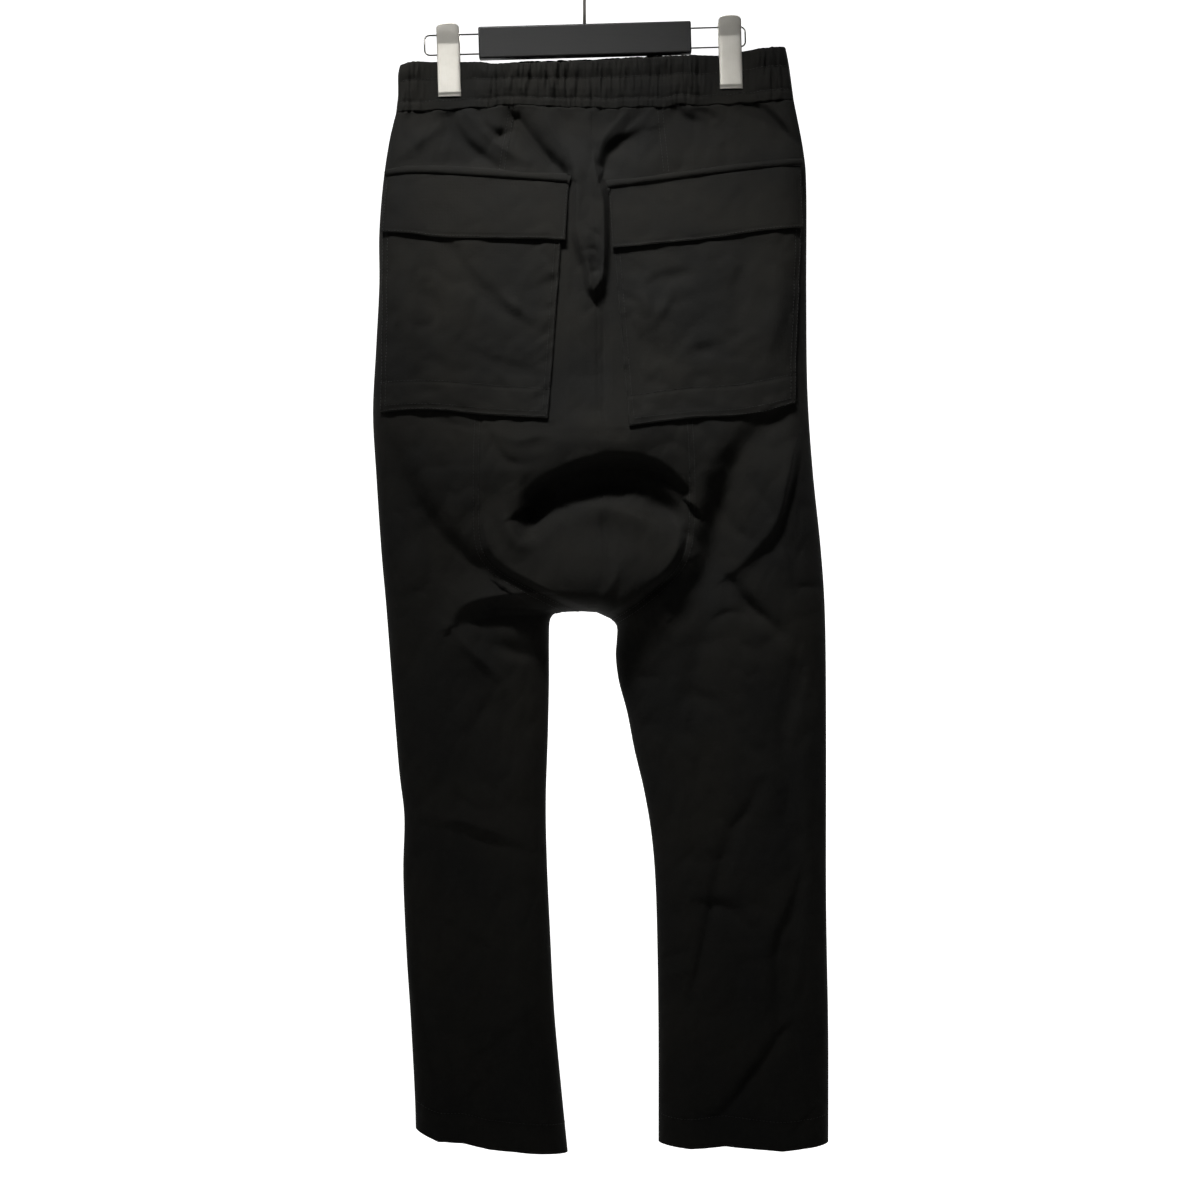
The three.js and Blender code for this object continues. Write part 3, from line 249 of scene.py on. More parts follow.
CREASES = {
    "back": [
        # Rim over the hollow of the dropped seat, the pouch below it and the pleat to its left
        crease(-29, (9, 27), (-44, 456), (-28, 445), (-4, 434), (28, 427), (64, 432), (90, 452),
               ends=(0.5, 0.4), power=3.2),
        crease(-7, (30, 12), (16, 428), (56, 424), (92, 440), (112, 468), ends=(0.2, 0.2)),
        crease(-13, (12, 13), (34, 452), (62, 456), (84, 474), (102, 498), ends=(0.2, 0.3), power=2.4),
        crease(6, (5, 16), (-28, 476), (-8, 468), (18, 465), (48, 474), (76, 490), (94, 510),
               ends=(0.2, 0.4)),
        crease(-15, (9, 10), (-38, 456), (-46, 470), (-51, 484), (-48, 494), ends=(0.8, 0.4)),
        crease(7, (5, 8), (-76, 450), (-72, 476), (-60, 498), (-42, 494), (-28, 480), ends=(0.2, 0.3)),
        # Dents in the fold between the pockets, and the valley below its tip
        crease(-4, (6, 5), (5, 214), (9, 226), (10, 240), (12, 256)),
        crease(-3, (5, 5), (4, 112), (8, 122), (9, 134)),
        crease(-8, (6, 15), (18, 262), (24, 300), (31, 340), (38, 384), ends=(0.4, 0.3)),
        # Folds between the waistband and the left flap
        crease(-12, (5, 11), (-64, 92), (-44, 119), (-18, 146), ends=(0.7, 0.9), power=1.8),
        crease(-8, (4, 10), (-94, 101), (-82, 107), (-68, 103), power=1.7),
        crease(-8, (5, 9), (-128, 92), (-121, 104), (-110, 118), (-84, 138), ends=(0.8, 0.3), power=1.7),
        crease(6, (9, 5), (-112, 86), (-98, 102), (-76, 122), (-56, 134), ends=(0.5, 0.3), power=1.6),
        crease(4.5, (10, 6), (-172, 128), (-150, 108), (-134, 92), power=1.6),
        crease(-7, (14, 8), (-160, 140), (-118, 134), (-72, 140), ends=(0.2, 0.3)),
        # Folds between the waistband and the right flap
        crease(-11, (5, 13), (19, 138), (24, 124), (36, 113), (58, 104), ends=(0.9, 0.2), power=1.8),
        crease(-5, (3.5, 9), (90, 82), (97, 90), (118, 96), ends=(0.8, 0.2), power=1.6),
        crease(-5, (3.5, 8), (112, 83), (130, 93), ends=(0.8, 0.2), power=1.6),
        crease(-9, (4.5, 9), (160, 78), (180, 92), (201, 115), ends=(0.9, 0.4), power=1.6),
        # Right thigh
        crease(-19, (17, 13), (174, 382), (150, 408), (135, 440), (125, 478), (116, 520), (92, 556),
               ends=(0.3, 0.6)),
        crease(-9, (30, 14), (150, 452), (138, 500), (120, 560), (104, 640)),
        crease(8, (3.5, 14), (208, 371), (197, 420), (181, 478), (161, 504), (139, 526), power=1.6),
        crease(-5, (5, 9), (142, 537), (164, 562), (186, 578), ends=(0.5, 0.3), power=1.6),
        # Left thigh
        crease(-12, (12, 30), (-196, 388), (-174, 430), (-152, 472), (-120, 510), (-92, 530),
               ends=(0.2, 0.8)),
        crease(-8, (20, 26), (-158, 500), (-132, 540), (-150, 600)),
        crease(9, (15, 4), (-126, 574), (-115, 557), (-82, 548), (-46, 546), ends=(0.4, 0.7), power=1.6),
        crease(-9, (4, 15), (-118, 574), (-84, 561), (-40, 562), ends=(0.3, 0.9), power=1.6),
        crease(6, (4, 12), (-124, 581), (-107, 600), (-84, 622), (-78, 636), ends=(0.6, 0.3), power=1.6),
        crease(-5, (9, 6), (-98, 590), (-66, 602), (-40, 606), ends=(0.3, 0.4)),
        # Left knee and calf
        crease(4, (10, 4), (-158, 756), (-118, 762), (-80, 774), (-50, 788), ends=(0.4, 0.3), power=1.6),
        crease(-3, (16, 12), (-150, 850), (-110, 880), (-54, 920), ends=(0.5, 0.3)),
        crease(3, (9, 5), (-138, 966), (-96, 960), (-58, 946), ends=(0.3, 0.8), power=1.6),
        crease(2.5, (6, 6), (-130, 1036), (-100, 1000), (-62, 972), ends=(0.3, 0.5), power=1.6),
        # Right knee and calf
        crease(-3.5, (8, 5), (168, 726), (150, 758), (130, 800), (118, 860), (102, 932), ends=(0.4, 0.4),
               power=1.6),
        crease(-5, (6, 14), (206, 626), (190, 690), (204, 790), (200, 860), (186, 948), ends=(0.5, 0.8)),
        crease(-3.5, (4, 8), (106, 838), (134, 846), (162, 868), ends=(0.4, 0.3), power=1.6),
        crease(-6, (9, 5), (190, 960), (162, 1000), (132, 1038), (110, 1042), ends=(0.8, 0.5), power=1.6),
    ],
    "front": [
        crease(-6, (9, 10), (-70, 86), (-50, 118), (-20, 160), ends=(0.8, 0.3)),
        crease(-6, (10, 9), (88, 84), (66, 120), (40, 160), ends=(0.8, 0.3)),
        crease(-5, (9, 9), (-150, 88), (-166, 120), (-180, 150), ends=(0.8, 0.3)),
        crease(-5, (9, 9), (160, 80), (180, 106), (196, 140), ends=(0.8, 0.3)),
        crease(-12, (20, 16), (-150, 330), (-110, 430), (-60, 500), (-20, 540), ends=(0.2, 0.8)),
        crease(-12, (16, 20), (172, 330), (136, 430), (90, 500), (46, 545), ends=(0.2, 0.8)),
        crease(-10, (16, 14), (-60, 420), (-10, 462), (30, 464), (84, 424)),
        crease(6, (12, 12), (-60, 590), (-100, 620), (-130, 670), ends=(0.7, 0.2)),
        crease(6, (12, 12), (60, 590), (110, 620), (150, 680), ends=(0.7, 0.2)),
        crease(-6, (11, 11), (-150, 780), (-100, 770), (-55, 792), ends=(0.4, 0.4)),
        crease(-6, (11, 11), (90, 770), (150, 764), (205, 790), ends=(0.4, 0.4)),
        crease(-7, (11, 11), (-140, 940), (-96, 985), (-46, 1010), ends=(0.5, 0.5)),
        crease(-7, (11, 11), (96, 1010), (146, 980), (206, 940), ends=(0.5, 0.5)),
    ],
}

# Fold of spare cloth that stands up between the pockets, by its left and right edges
TONGUE = {
    "left": [(-38, 90), (-20, 125), (-17, 143), (-12, 170), (-12, 205), (-3, 235), (2, 258), (10, 267)],
    "right": [(38, 90), (20, 112), (14, 130), (18, 151), (23, 172), (25, 213), (21, 250), (10, 267)],
    "rise": 12,
    "edge": (-1.5, 6.5),
    "starts": (92, 150),
}
# Step down from the pouch to the legs, along the lower part of the seat's seams
POUCH_STEP = {"rise": 13, "edge": (-2, 7), "starts": (455, 515)}

# The waistband stays free of the folds, which begin at its seam
FOLDS_BEGIN = (72, 86)

# Smaller creases that run through and between the large ones
FINE_CREASES = {
    "back": [
        # Between the waistband and the left flap
        sharp(-2, (3, 6), (-137, 88), (-107, 120), (-81, 138), ends=(0.6, 0.2)),
        crease(-2, (2.5, 6), (-100, 88), (-94, 98), (-82, 104), ends=(0.6, 0.2), power=1.4),
        sharp(-3, (5, 3), (-65, 95), (-52, 112), (-36, 128), (-20, 144), ends=(0.5, 0.6)),
        sharp(-1.8, (4, 3), (-172, 92), (-168, 112), (-158, 128), ends=(0.5, 0.2)),
        crease(4.5, (2.5, 8), (-41, 81), (-28, 106), (-20, 125), (-16, 146), ends=(0.5, 0.6), power=1.4),
        sharp(-1.5, (3, 5), (-60, 84), (-48, 100), (-40, 118)),
        # Along the fold between the flaps
        sharp(2.5, (4, 7), (-16, 146), (-11, 172), (-11, 204), (-2, 234), ends=(0.5, 0.3)),
        crease(3.5, (6, 3), (44, 82), (29, 98), (18, 114), (14, 132), (19, 152), ends=(0.4, 0.6),
               power=1.4),
        sharp(2.5, (6, 3), (19, 152), (23, 190), (22, 232), (17, 256), ends=(0.6, 0.5)),
        sharp(-1.5, (3, 3), (2, 200), (12, 206), (18, 214)),
        sharp(-1.8, (3, 3), (-2, 222), (8, 220), (16, 228)),
        sharp(-1.6, (3, 3), (4, 244), (12, 240), (18, 246)),
        # Between the waistband and the right flap
        sharp(-2.5, (3, 7), (60, 84), (44, 96), (32, 112), ends=(0.6, 0.3)),
        crease(-2.5, (3, 6), (165, 78), (181, 91), (204, 114), ends=(0.7, 0.3), power=1.4),
        sharp(2.5, (5, 3), (181, 82), (197, 104), ends=(0.4, 0.5)),
        crease(-1.8, (5, 5), (76, 92), (70, 114), (56, 134), ends=(0.4, 0.3)),
        crease(1.6, (6, 6), (150, 92), (138, 108), (120, 124)),
        # Seat below the left pocket
        sharp(-3, (3, 8), (-92, 390), (-78, 414), (-62, 424), (-49, 421)),
        sharp(2.5, (7, 4), (-86, 394), (-62, 402), (-40, 398), (-24, 404)),
        sharp(-2, (3, 6), (-94, 390), (-118, 387), (-142, 381)),
        # Pouch and the folds round it
        crease(3, (4, 6), (21, 462), (52, 466), (82, 482), (104, 507), (82, 526), power=1.6),
        sharp(-2.5, (4, 4), (14, 462), (19, 486), (26, 504), ends=(0.3, 0.2)),
        sharp(2.5, (6, 4), (30, 500), (30, 530), (10, 558), ends=(0.3, 0.5)),
        crease(-6, (8, 5), (100, 516), (78, 534), (52, 548), (34, 562), ends=(0.5, 0.5), power=1.6),
        crease(-4, (4, 7), (85, 477), (96, 490), (104, 501), ends=(0.3, 0.2), power=1.6),
        crease(3, (3, 8), (-58, 430), (-62, 452), (-58, 478), ends=(0.3, 0.2), power=1.6),
        # Right thigh
        sharp(3.5, (4, 9), (180, 482), (190, 512), (198, 541)),
        sharp(-3.5, (3, 8), (143, 534), (162, 562), (184, 581), ends=(0.4, 0.4)),
        sharp(-2.5, (3, 6), (120, 574), (134, 564), (149, 564), ends=(0.4, 0.4)),
        sharp(-2.5, (3, 6), (200, 539), (223, 539), ends=(0.2, 0.6)),
        sharp(3, (3, 9), (204, 392), (193, 440), (180, 486), (160, 508), (143, 526)),
        sharp(-2.5, (3, 8), (212, 380), (206, 420), (192, 470), (186, 500)),
        # Left thigh
        sharp(3, (9, 3), (-52, 544), (-81, 547), (-103, 552), (-123, 566), ends=(0.5, 0.3)),
        sharp(-3.5, (3, 7), (-119, 578), (-88, 568), (-36, 566), ends=(0.2, 0.8)),
        sharp(3, (3, 8), (-121, 582), (-104, 602), (-82, 626), ends=(0.4, 0.3)),
        crease(-3, (6, 6), (-110, 600), (-96, 618), (-84, 632)),
        sharp(-2.5, (8, 4), (-84, 635), (-97, 658), (-110, 680)),
        # Left knee and calf
        sharp(-1.8, (3, 5), (-132, 731), (-103, 750), (-87, 754)),
        sharp(2, (6, 3), (-164, 754), (-142, 765), (-119, 762), (-103, 770), (-65, 784)),
        sharp(-1.8, (3, 6), (-116, 773), (-97, 778), (-62, 792)),
        crease(2, (8, 4), (-161, 843), (-135, 853), (-110, 866), (-81, 885), (-59, 911), power=1.6),
        crease(-2, (8, 4), (-167, 859), (-158, 930), (-139, 1013), (-134, 1064), power=1.6),
        sharp(2, (6, 3), (-139, 965), (-87, 960), (-55, 946), ends=(0.3, 0.6)),
        sharp(-1.8, (3, 5), (-110, 990), (-84, 974), (-59, 952), ends=(0.3, 0.4)),
        sharp(-1.5, (3, 5), (-123, 1007), (-94, 981), (-71, 971)),
        sharp(-1.8, (3, 5), (-132, 1045), (-94, 1007), (-71, 991), ends=(0.4, 0.3)),
        # Right knee and calf
        crease(-2.5, (5, 7), (207, 616), (197, 648), (189, 680), (191, 715), ends=(0.4, 0.3), power=1.6),
        sharp(2, (3, 6), (204, 626), (189, 682)),
        sharp(-2, (3, 6), (165, 731), (156, 754), (136, 773), (132, 786)),
        sharp(-1.8, (3, 5), (144, 786), (135, 811), (130, 834)),
        sharp(-2, (3, 5), (124, 840), (117, 866), (108, 904), (100, 936)),
        sharp(-2.2, (3, 6), (104, 842), (127, 839), (140, 843), (159, 859)),
        sharp(-1.5, (4, 4), (111, 783), (92, 802), (72, 821)),
        sharp(-1.6, (3, 4), (72, 895), (101, 885), ends=(0.6, 0.3)),
        sharp(1.8, (5, 3), (74, 910), (104, 904), ends=(0.6, 0.3)),
        crease(2.5, (4, 9), (220, 741), (200, 821), (178, 879), (181, 949), power=1.6),
        crease(-2.5, (4, 7), (213, 789), (197, 853), (184, 885), (184, 962), ends=(0.3, 0.4), power=1.6),
        sharp(-3, (5, 3), (188, 963), (168, 991), (146, 1019), (130, 1040), (117, 1040), ends=(0.5, 0.3)),
        sharp(-2, (4, 3), (191, 960), (207, 968), (226, 970), ends=(0.3, 0.6)),
        sharp(2, (5, 3), (74, 1045), (92, 1042), (104, 1026), (130, 1022), ends=(0.6, 0.3)),
        sharp(-1.6, (4, 3), (74, 1032), (92, 1022), ends=(0.6, 0.3)),
        sharp(-2.5, (5, 3), (229, 1029), (210, 1045), (191, 1070), ends=(0.5, 0.3)),
    ],
    "front": [
        crease(-3, (5, 6), (-128, 86), (-112, 112), (-90, 134), ends=(0.5, 0.2)),
        crease(-3, (6, 5), (126, 84), (112, 108), (94, 134), ends=(0.5, 0.2)),
        crease(2.5, (6, 6), (-96, 88), (-84, 118), (-74, 150)),
        crease(-3, (6, 5), (-30, 96), (-16, 140), (-8, 190)),
        crease(-3, (5, 6), (40, 92), (30, 132), (22, 184)),
        crease(-2.5, (6, 6), (-176, 300), (-150, 360), (-122, 404)),
        crease(-2.5, (6, 6), (196, 290), (170, 352), (146, 400)),
        crease(3, (7, 7), (-96, 470), (-66, 508), (-34, 540), ends=(0.3, 0.4)),
        crease(3, (7, 7), (118, 462), (88, 508), (54, 546), ends=(0.3, 0.4)),
        crease(-3, (6, 6), (-160, 520), (-120, 556), (-72, 572)),
        crease(-3, (6, 6), (198, 520), (150, 560), (96, 580)),
        crease(-3, (6, 6), (-146, 690), (-112, 726), (-76, 742)),
        crease(-3, (6, 6), (200, 690), (160, 728), (112, 744)),
        crease(2.5, (6, 6), (-150, 860), (-112, 888), (-64, 900)),
        crease(2.5, (6, 6), (210, 850), (166, 884), (104, 896)),
        crease(-2.5, (5, 5), (-136, 1020), (-98, 1034), (-60, 1022)),
        crease(-2.5, (5, 5), (110, 1030), (150, 1040), (200, 1018)),
    ],
}

# Outlines of the back pockets, of their flaps and of the welts above them, from left to right
POCKETS = {
    "left": {
        "top": [(-192, 166), (-110, 168), (-19, 172)],
        "foot": [(-193, 374), (-142, 373), (-91, 378), (-34, 382)],
        "flap_foot": [(-190, 202), (-158, 206), (-129, 209), (-18, 211)],
        "welt_top": [(-187, 142), (-148, 141), (-62, 146), (-15, 150)],
    },
    "right": {
        "top": [(24, 178), (111, 166), (208, 156)],
        "foot": [(42, 389), (101, 381), (149, 378), (199, 366)],
        "flap_foot": [(26, 219), (111, 211), (159, 204), (206, 198)],
        "welt_top": [(22, 155), (111, 143), (159, 137), (205, 132)],
    },
}
FOLDS_UNDER_POCKET = 0.1
SUNK_UNDER_POCKET = 1.2
FOLDS_FADE_OUT = (-4, 4)
SINK_FADE_OUT = (-1.5, 3)

SEAM_GROOVE = {"depth": 0.3, "reach": 1.4}
HEM_DEPTH = 28
HEM_TURN = {"rise": 0.5, "groove": 0.5, "groove_reach": 1.6, "pucker": 0.5, "pucker_reach": 9}

# Waves of the cloth as (rise, size, seed), and sharp wandering valleys as (depth, apart, squeeze, seed)
UNEVEN = [(0.9, 52, 1.7), (0.3, 19, 5.2)]
CRINKLES = [(1.6, 40, 0.8, 8.8), (0.7, 17, 0.6, 3.1)]
WAIST_WAVES = [(1.9, 17, 3.9), (0.9, 7, 6.4)]
PUCKERS = {"rise": 1.5, "wide": 9, "reach": 9, "second_share": 0.7, "second_wide": 22}


def smoothstep(value, low, high):
    """0 at low and below it, 1 at high and above it, with a smooth rise between."""
    share = np.clip((value - low) / (high - low), 0, 1)
    return share * share * (3 - 2 * share)


def round_off(distance, reach):
    """Quarter circle: 0 at an edge, 1 at reach and beyond."""
    left = 1 - np.clip(distance / reach, 0, 1)
    return np.sqrt(1 - left * left)


def spline(points, steps=8):
    """Dense line through the points."""
    points = np.array(points, float)
    padded = np.vstack([points[:1], points, points[-1:]])
    t = np.linspace(0, 1, steps, endpoint=False)[:, None]
    parts = []
    for a, b, c, d in zip(padded, padded[1:], padded[2:], padded[3:]):
        leave, reach = (c - a) / 2, (d - b) / 2
        parts.append((2 * b - 2 * c + leave + reach) * t**3 + (3 * c - 3 * b - 2 * leave - reach) * t**2
                     + leave * t + b)
    return np.vstack([*parts, points[-1:]])


def lengths(line):
    """Length along a line at each of its points."""
    return np.concatenate([[0], np.cumsum(np.hypot(*np.diff(line, axis=0).T))])


def along(line, shares):
    """Points at shares of a line's length."""
    reached = lengths(line)
    return np.column_stack([np.interp(shares * reached[-1], reached, line[:, i]) for i in (0, 1)])


def beside(line, distance):
    """The line moved sideways, towards larger across where it runs down."""
    tangent = np.gradient(line, axis=0)
    tangent /= np.linalg.norm(tangent, axis=1)[:, None]
    return line + distance * np.column_stack([tangent[:, 1], -tangent[:, 0]])


def nearest(line, at):
    """Distance of each point from a line, the share of the line where it is nearest, and the side: 1 towards
    larger across where the line runs down, and -1 on the other side."""
    reached = lengths(line)
    best = np.full(len(at), np.inf)
    share = np.zeros(len(at))
    side = np.ones(len(at))
    for start, end, before in zip(line, line[1:], reached):
        step = end - start
        part = np.clip((at - start) @ step / (step @ step), 0, 1)
        off = at - start - part[:, None] * step
        squared = (off ** 2).sum(1)
        closer = squared < best
        best[closer] = squared[closer]
        share[closer] = (before + part[closer] * math.hypot(*step)) / reached[-1]
        side[closer] = np.where(off[closer, 0] * step[1] - off[closer, 1] * step[0] > 0, 1, -1)
    return np.sqrt(best), share, side


def crease_rise(one, at):
    """How far one crease lifts each point."""
    path = spline(one["path"], 5)
    reach = 4 * max(one["widths"])
    near = np.all((at > path.min(0) - reach) & (at < path.max(0) + reach), axis=1)
    rise = np.zeros(len(at))
    if near.any():
        distance, share, side = nearest(path, at[near])
        width = np.where(side > 0, *one["widths"])
        start, end = one["ends"]
        kept = np.where(share < 0.5, start + (1 - start) * smoothstep(share, 0, 0.5),
                        1 + (end - 1) * smoothstep(share, 0.5, 1))
        rise[near] = one["rise"] * kept * np.exp(-(distance / width) ** one["power"])
    return rise


RIM = {hand: spline(rows) for hand, rows in OUTSEAM.items()}
RIM_INNER = np.vstack([spline(INSEAM["left"])[::-1], spline(CROTCH)[1:-1], spline(INSEAM["right"])])
TONGUE_EDGES = (spline(TONGUE["left"]), spline(TONGUE["right"]))
SEAT_EDGES = (spline(SEAT_SEAM["left"]), spline(SEAT_SEAM["right"]))
POCKET_FIELDS = [(np.array(p["welt_top"], float), np.array(p["foot"], float)) for p in POCKETS.values()]


def clearances(at):
    """How far inside the outline each point lies: from the sides, and from the crotch and inner legs."""
    left, _, right_of_left = nearest(RIM["left"], at)
    right, _, right_of_right = nearest(RIM["right"], at)
    inner, _, side = nearest(RIM_INNER, at)
    return np.minimum(left * right_of_left, -right * right_of_right), inner * side


def half_depth(side, at):
    """Half the garment's depth, front to back."""
    across, down = at.T
    clipped = sum(np.exp(-((across - place) / CLIP_PRESS) ** 4) for place in CLIP_PLACES)
    to_end = smoothstep(abs(across - WAIST_MIDDLE), *WAIST_NARROWS)
    unclipped = WAIST_HALF["open"] + (WAIST_HALF["ends"] - WAIST_HALF["open"]) * to_end
    waist = unclipped + (WAIST_HALF["clipped"] - unclipped) * np.minimum(1, clipped)
    below = np.interp(down, HALF_DEPTH["down"], HALF_DEPTH[side])
    return waist + (below - waist) * smoothstep(down, *WAIST_WIDENS)


def under_pocket(at, fade_out):
    """1 where a pocket or its welt covers the cloth, 0 beside it."""
    across, down = at.T
    covered = np.zeros(len(at))
    for top, foot in POCKET_FIELDS:
        inside = np.minimum.reduce([
            across - top[0, 0], top[-1, 0] - across,
            down - np.interp(across, *top.T), np.interp(across, *foot.T) - down])
        covered = np.maximum(covered, smoothstep(inside, *fade_out))
    return covered


def ripple(at, size, seed):
    """Soft uneven undulation from -1 to 1, about size across."""
    return np.array([noise.noise(Vector((x / size, y / size, seed))) for x, y in at])


def ripples(at, waves):
    """Sum of undulations, each given as (rise, size, seed)."""
    return sum(rise * ripple(at, size, seed) for rise, size, seed in waves)


def crinkles(at, valleys):
    """Depth of sharp wandering valleys, each given as (depth, apart, squeeze, seed)."""
    return sum(
        depth * (1 - 3 * np.abs(ripple(at * (1, squeeze), apart, seed))).clip(0, 1)
        for depth, apart, squeeze, seed in valleys)


def between_edges(at, left, right):
    """How far inside two edges that run down the cloth each point lies, under 0 outside them."""
    from_left, _, left_side = nearest(left, at)
    from_right, _, right_side = nearest(right, at)
    return np.minimum(from_left * left_side, -from_right * right_side)


def body_depth(side, at, fine=True):
    """Distance of the cloth's outer face from the middle plane. The plain form has the large folds alone."""
    side_clear, inner_clear = clearances(at)
    half = half_depth(side, at)
    across, down = at.T
    fuller = np.exp(-((across - POUCH_ROUND["middle"]) / POUCH_ROUND["wide"]) ** 4) \
        * (1 - smoothstep(down, *POUCH_ROUND["ends"]))
    inner_round = CROTCH_ROUND * (1 - (1 - POUCH_ROUND["share"]) * fuller)
    base = half * round_off(side_clear, half * SIDE_ROUND) * round_off(inner_clear, half * inner_round)
    fade_reach = FOLD_FADE * (1 - (1 - POUCH_ROUND["fold_share"]) * fuller)
    fade = round_off(np.minimum(side_clear, inner_clear), fade_reach)
    rise = sum(
        high * np.exp(-((across - place) / wide) ** 2 - ((down - level) / tall) ** 2)
        for place, level, wide, tall, high in SWELLS[side])
    folds = sum(crease_rise(one, at) for one in CREASES[side]) * smoothstep(down, *FOLDS_BEGIN)
    covered = under_pocket(at, FOLDS_FADE_OUT) if side == "back" else np.zeros(len(at))
    folds *= 1 - (1 - FOLDS_UNDER_POCKET) * covered
    if side == "back":
        tongue = smoothstep(between_edges(at, *TONGUE_EDGES), *TONGUE["edge"])
        folds += TONGUE["rise"] * tongue * smoothstep(at[:, 1], *TONGUE["starts"]) * (1 - covered)
        pouch = smoothstep(between_edges(at, *SEAT_EDGES), *POUCH_STEP["edge"])
        folds += POUCH_STEP["rise"] * pouch * smoothstep(at[:, 1], *POUCH_STEP["starts"])
    if fine:
        small = sum(crease_rise(one, at) for one in FINE_CREASES[side])
        small += ripples(at, UNEVEN) - crinkles(at, CRINKLES)
        folds += small * (1 - covered)
        if side == "back":
            folds -= SUNK_UNDER_POCKET * under_pocket(at, SINK_FADE_OUT)
    depth = SEAM_GAP / 2 + np.maximum(base + (rise + folds) * fade, base * LEAST_SHARE)
    if fine:
        for seam in SEAMS[side]:
            distance, _, _ = nearest(seam, at)
            depth -= SEAM_GROOVE["depth"] * np.exp(-(distance / SEAM_GROOVE["reach"]) ** 2) * fade
        below = at[:, 1] - np.interp(at[:, 0], *np.array(WAIST_SEAM[side]).T)
        gather = ripple(at * (1, 0.3), PUCKERS["wide"], 9.1) \
            + PUCKERS["second_share"] * ripple(at * (1, 0.2), PUCKERS["second_wide"], 4.4)
        depth += PUCKERS["rise"] * gather * np.exp(-np.abs(below) / PUCKERS["reach"]) * fade \
            * smoothstep(below, -1, 3) * smoothstep(half, WAIST_HALF["clipped"], 8)
    return np.maximum(depth, SEAM_GAP / 2)


SEAMS = {
    "back": [spline(SEAT_SEAM["left"]), spline(SEAT_SEAM["right"]), spline(CENTRE_BACK)],
    "front": [spline(CENTRE_FRONT)],
}


def closer_at_ends(shares):
    """Even shares moved closer together at both ends."""
    return (1 - np.cos(np.pi * shares)) / 2


def frame_place(side, at, depth):
    """Places in the frame, in metres, of points on the cloth at a depth from the middle plane."""
    outward = -1 if side == "back" else 1
    return np.column_stack([at[:, 0], outward * depth, BAR_TOP - at[:, 1]]) / 1000


def outward_on(side, at, reach=0.5):
    """Outward directions of the plain form."""
    slopes = [
        (body_depth(side, at + step, fine=False) - body_depth(side, at - step, fine=False)) / (2 * reach)
        for step in ((reach, 0), (0, reach))]
    directions = np.column_stack([-slopes[0], np.full(len(at), -1 if side == "back" else 1), slopes[1]])
    return directions / np.linalg.norm(directions, axis=1)[:, None]


def cloth_grid(name, columns, rows, faces_front=False):
    """Flat grid of cloth as a new mesh, with the shares across and down of each of its vertices."""
    bm = bmesh.new()
    bmesh.ops.create_grid(bm, x_segments=columns, y_segments=rows, size=0.5)
    if faces_front:
        bmesh.ops.reverse_faces(bm, faces=bm.faces)
    mesh = bpy.data.meshes.new(name)
    bm.to_mesh(mesh)
    bm.free()
    mesh.shade_smooth()
    flat = np.empty(len(mesh.vertices) * 3)
    mesh.vertices.foreach_get("co", flat)
    shares = flat.reshape(-1, 3)[:, :2] + 0.5
    return mesh, shares[:, 0], 1 - shares[:, 1]


def lay_cloth(mesh, places, at, wall, material):
    """Moves the grid to its places, maps the weave in metres, and gives the cloth its thickness inwards."""
    mesh.vertices.foreach_set("co", places.ravel())
    corners = np.empty(len(mesh.loops), int)
    mesh.loops.foreach_get("vertex_index", corners)
    weave = mesh.uv_layers.new(name="weave")
    weave.data.foreach_set("uv", (at[corners] / 1000).ravel())
    mesh.materials.append(material)
    piece = bpy.data.objects.new(mesh.name, mesh)
    bpy.context.collection.objects.link(piece)
    shell = piece.modifiers.new("thickness", "SOLIDIFY")
    shell.thickness = wall / 1000
    shell.offset = -1
    shell.use_even_offset = False
    return piece


def waist_wave(across):
    """How far the gathers pull the waist seam up and down from its line."""
    at = np.column_stack([across, 0 * across])
    return ripples(at, WAIST_WAVES) * (1 - smoothstep(abs(across - WAIST_MIDDLE), 165, 185))


def panel(name, side, left, right, columns, rows, material, hem=None):
    """Panel of the body between two edge lines that run down the cloth."""
    mesh, across, down = cloth_grid(name, columns, rows, side == "front")
    starts, ends = along(left, down), along(right, down)
    at = starts + (ends - starts) * closer_at_ends(across)[:, None]
    at[down < 0.5 / rows, 1] += SEAM_GAP / 2
    at[:, 1] += waist_wave(at[:, 0]) * (1 - smoothstep(down, 0, 0.05))
    depth_extra = 0
    if hem is not None:
        foot = left[-1] + (right[-1] - left[-1]) * closer_at_ends(across)[:, None]
        at[:, 1] += (np.interp(foot[:, 0], *np.array(hem, float).T) - foot[:, 1]) * smoothstep(down, 0.85, 1)
        above_hem = np.interp(at[:, 0], *np.array(hem, float).T) - at[:, 1]
        off_row = above_hem - HEM_DEPTH
        depth_extra = HEM_TURN["rise"] * smoothstep(-off_row, -1, 1) \
            - HEM_TURN["groove"] * np.exp(-(off_row / HEM_TURN["groove_reach"]) ** 2)
        depth_extra += HEM_TURN["pucker"] * ripple(at * (1, 0.4), HEM_TURN["pucker_reach"], 3.3) \
            * np.exp(-(off_row / HEM_TURN["pucker_reach"]) ** 2)
    depth = body_depth(side, at)
    side_clear, inner_clear = clearances(at)
    depth += depth_extra * round_off(np.minimum(side_clear, inner_clear), FOLD_FADE)
    places = frame_place(side, at, np.maximum(depth, SEAM_GAP / 2))
    return lay_cloth(mesh, places, at, CLOTH, material)


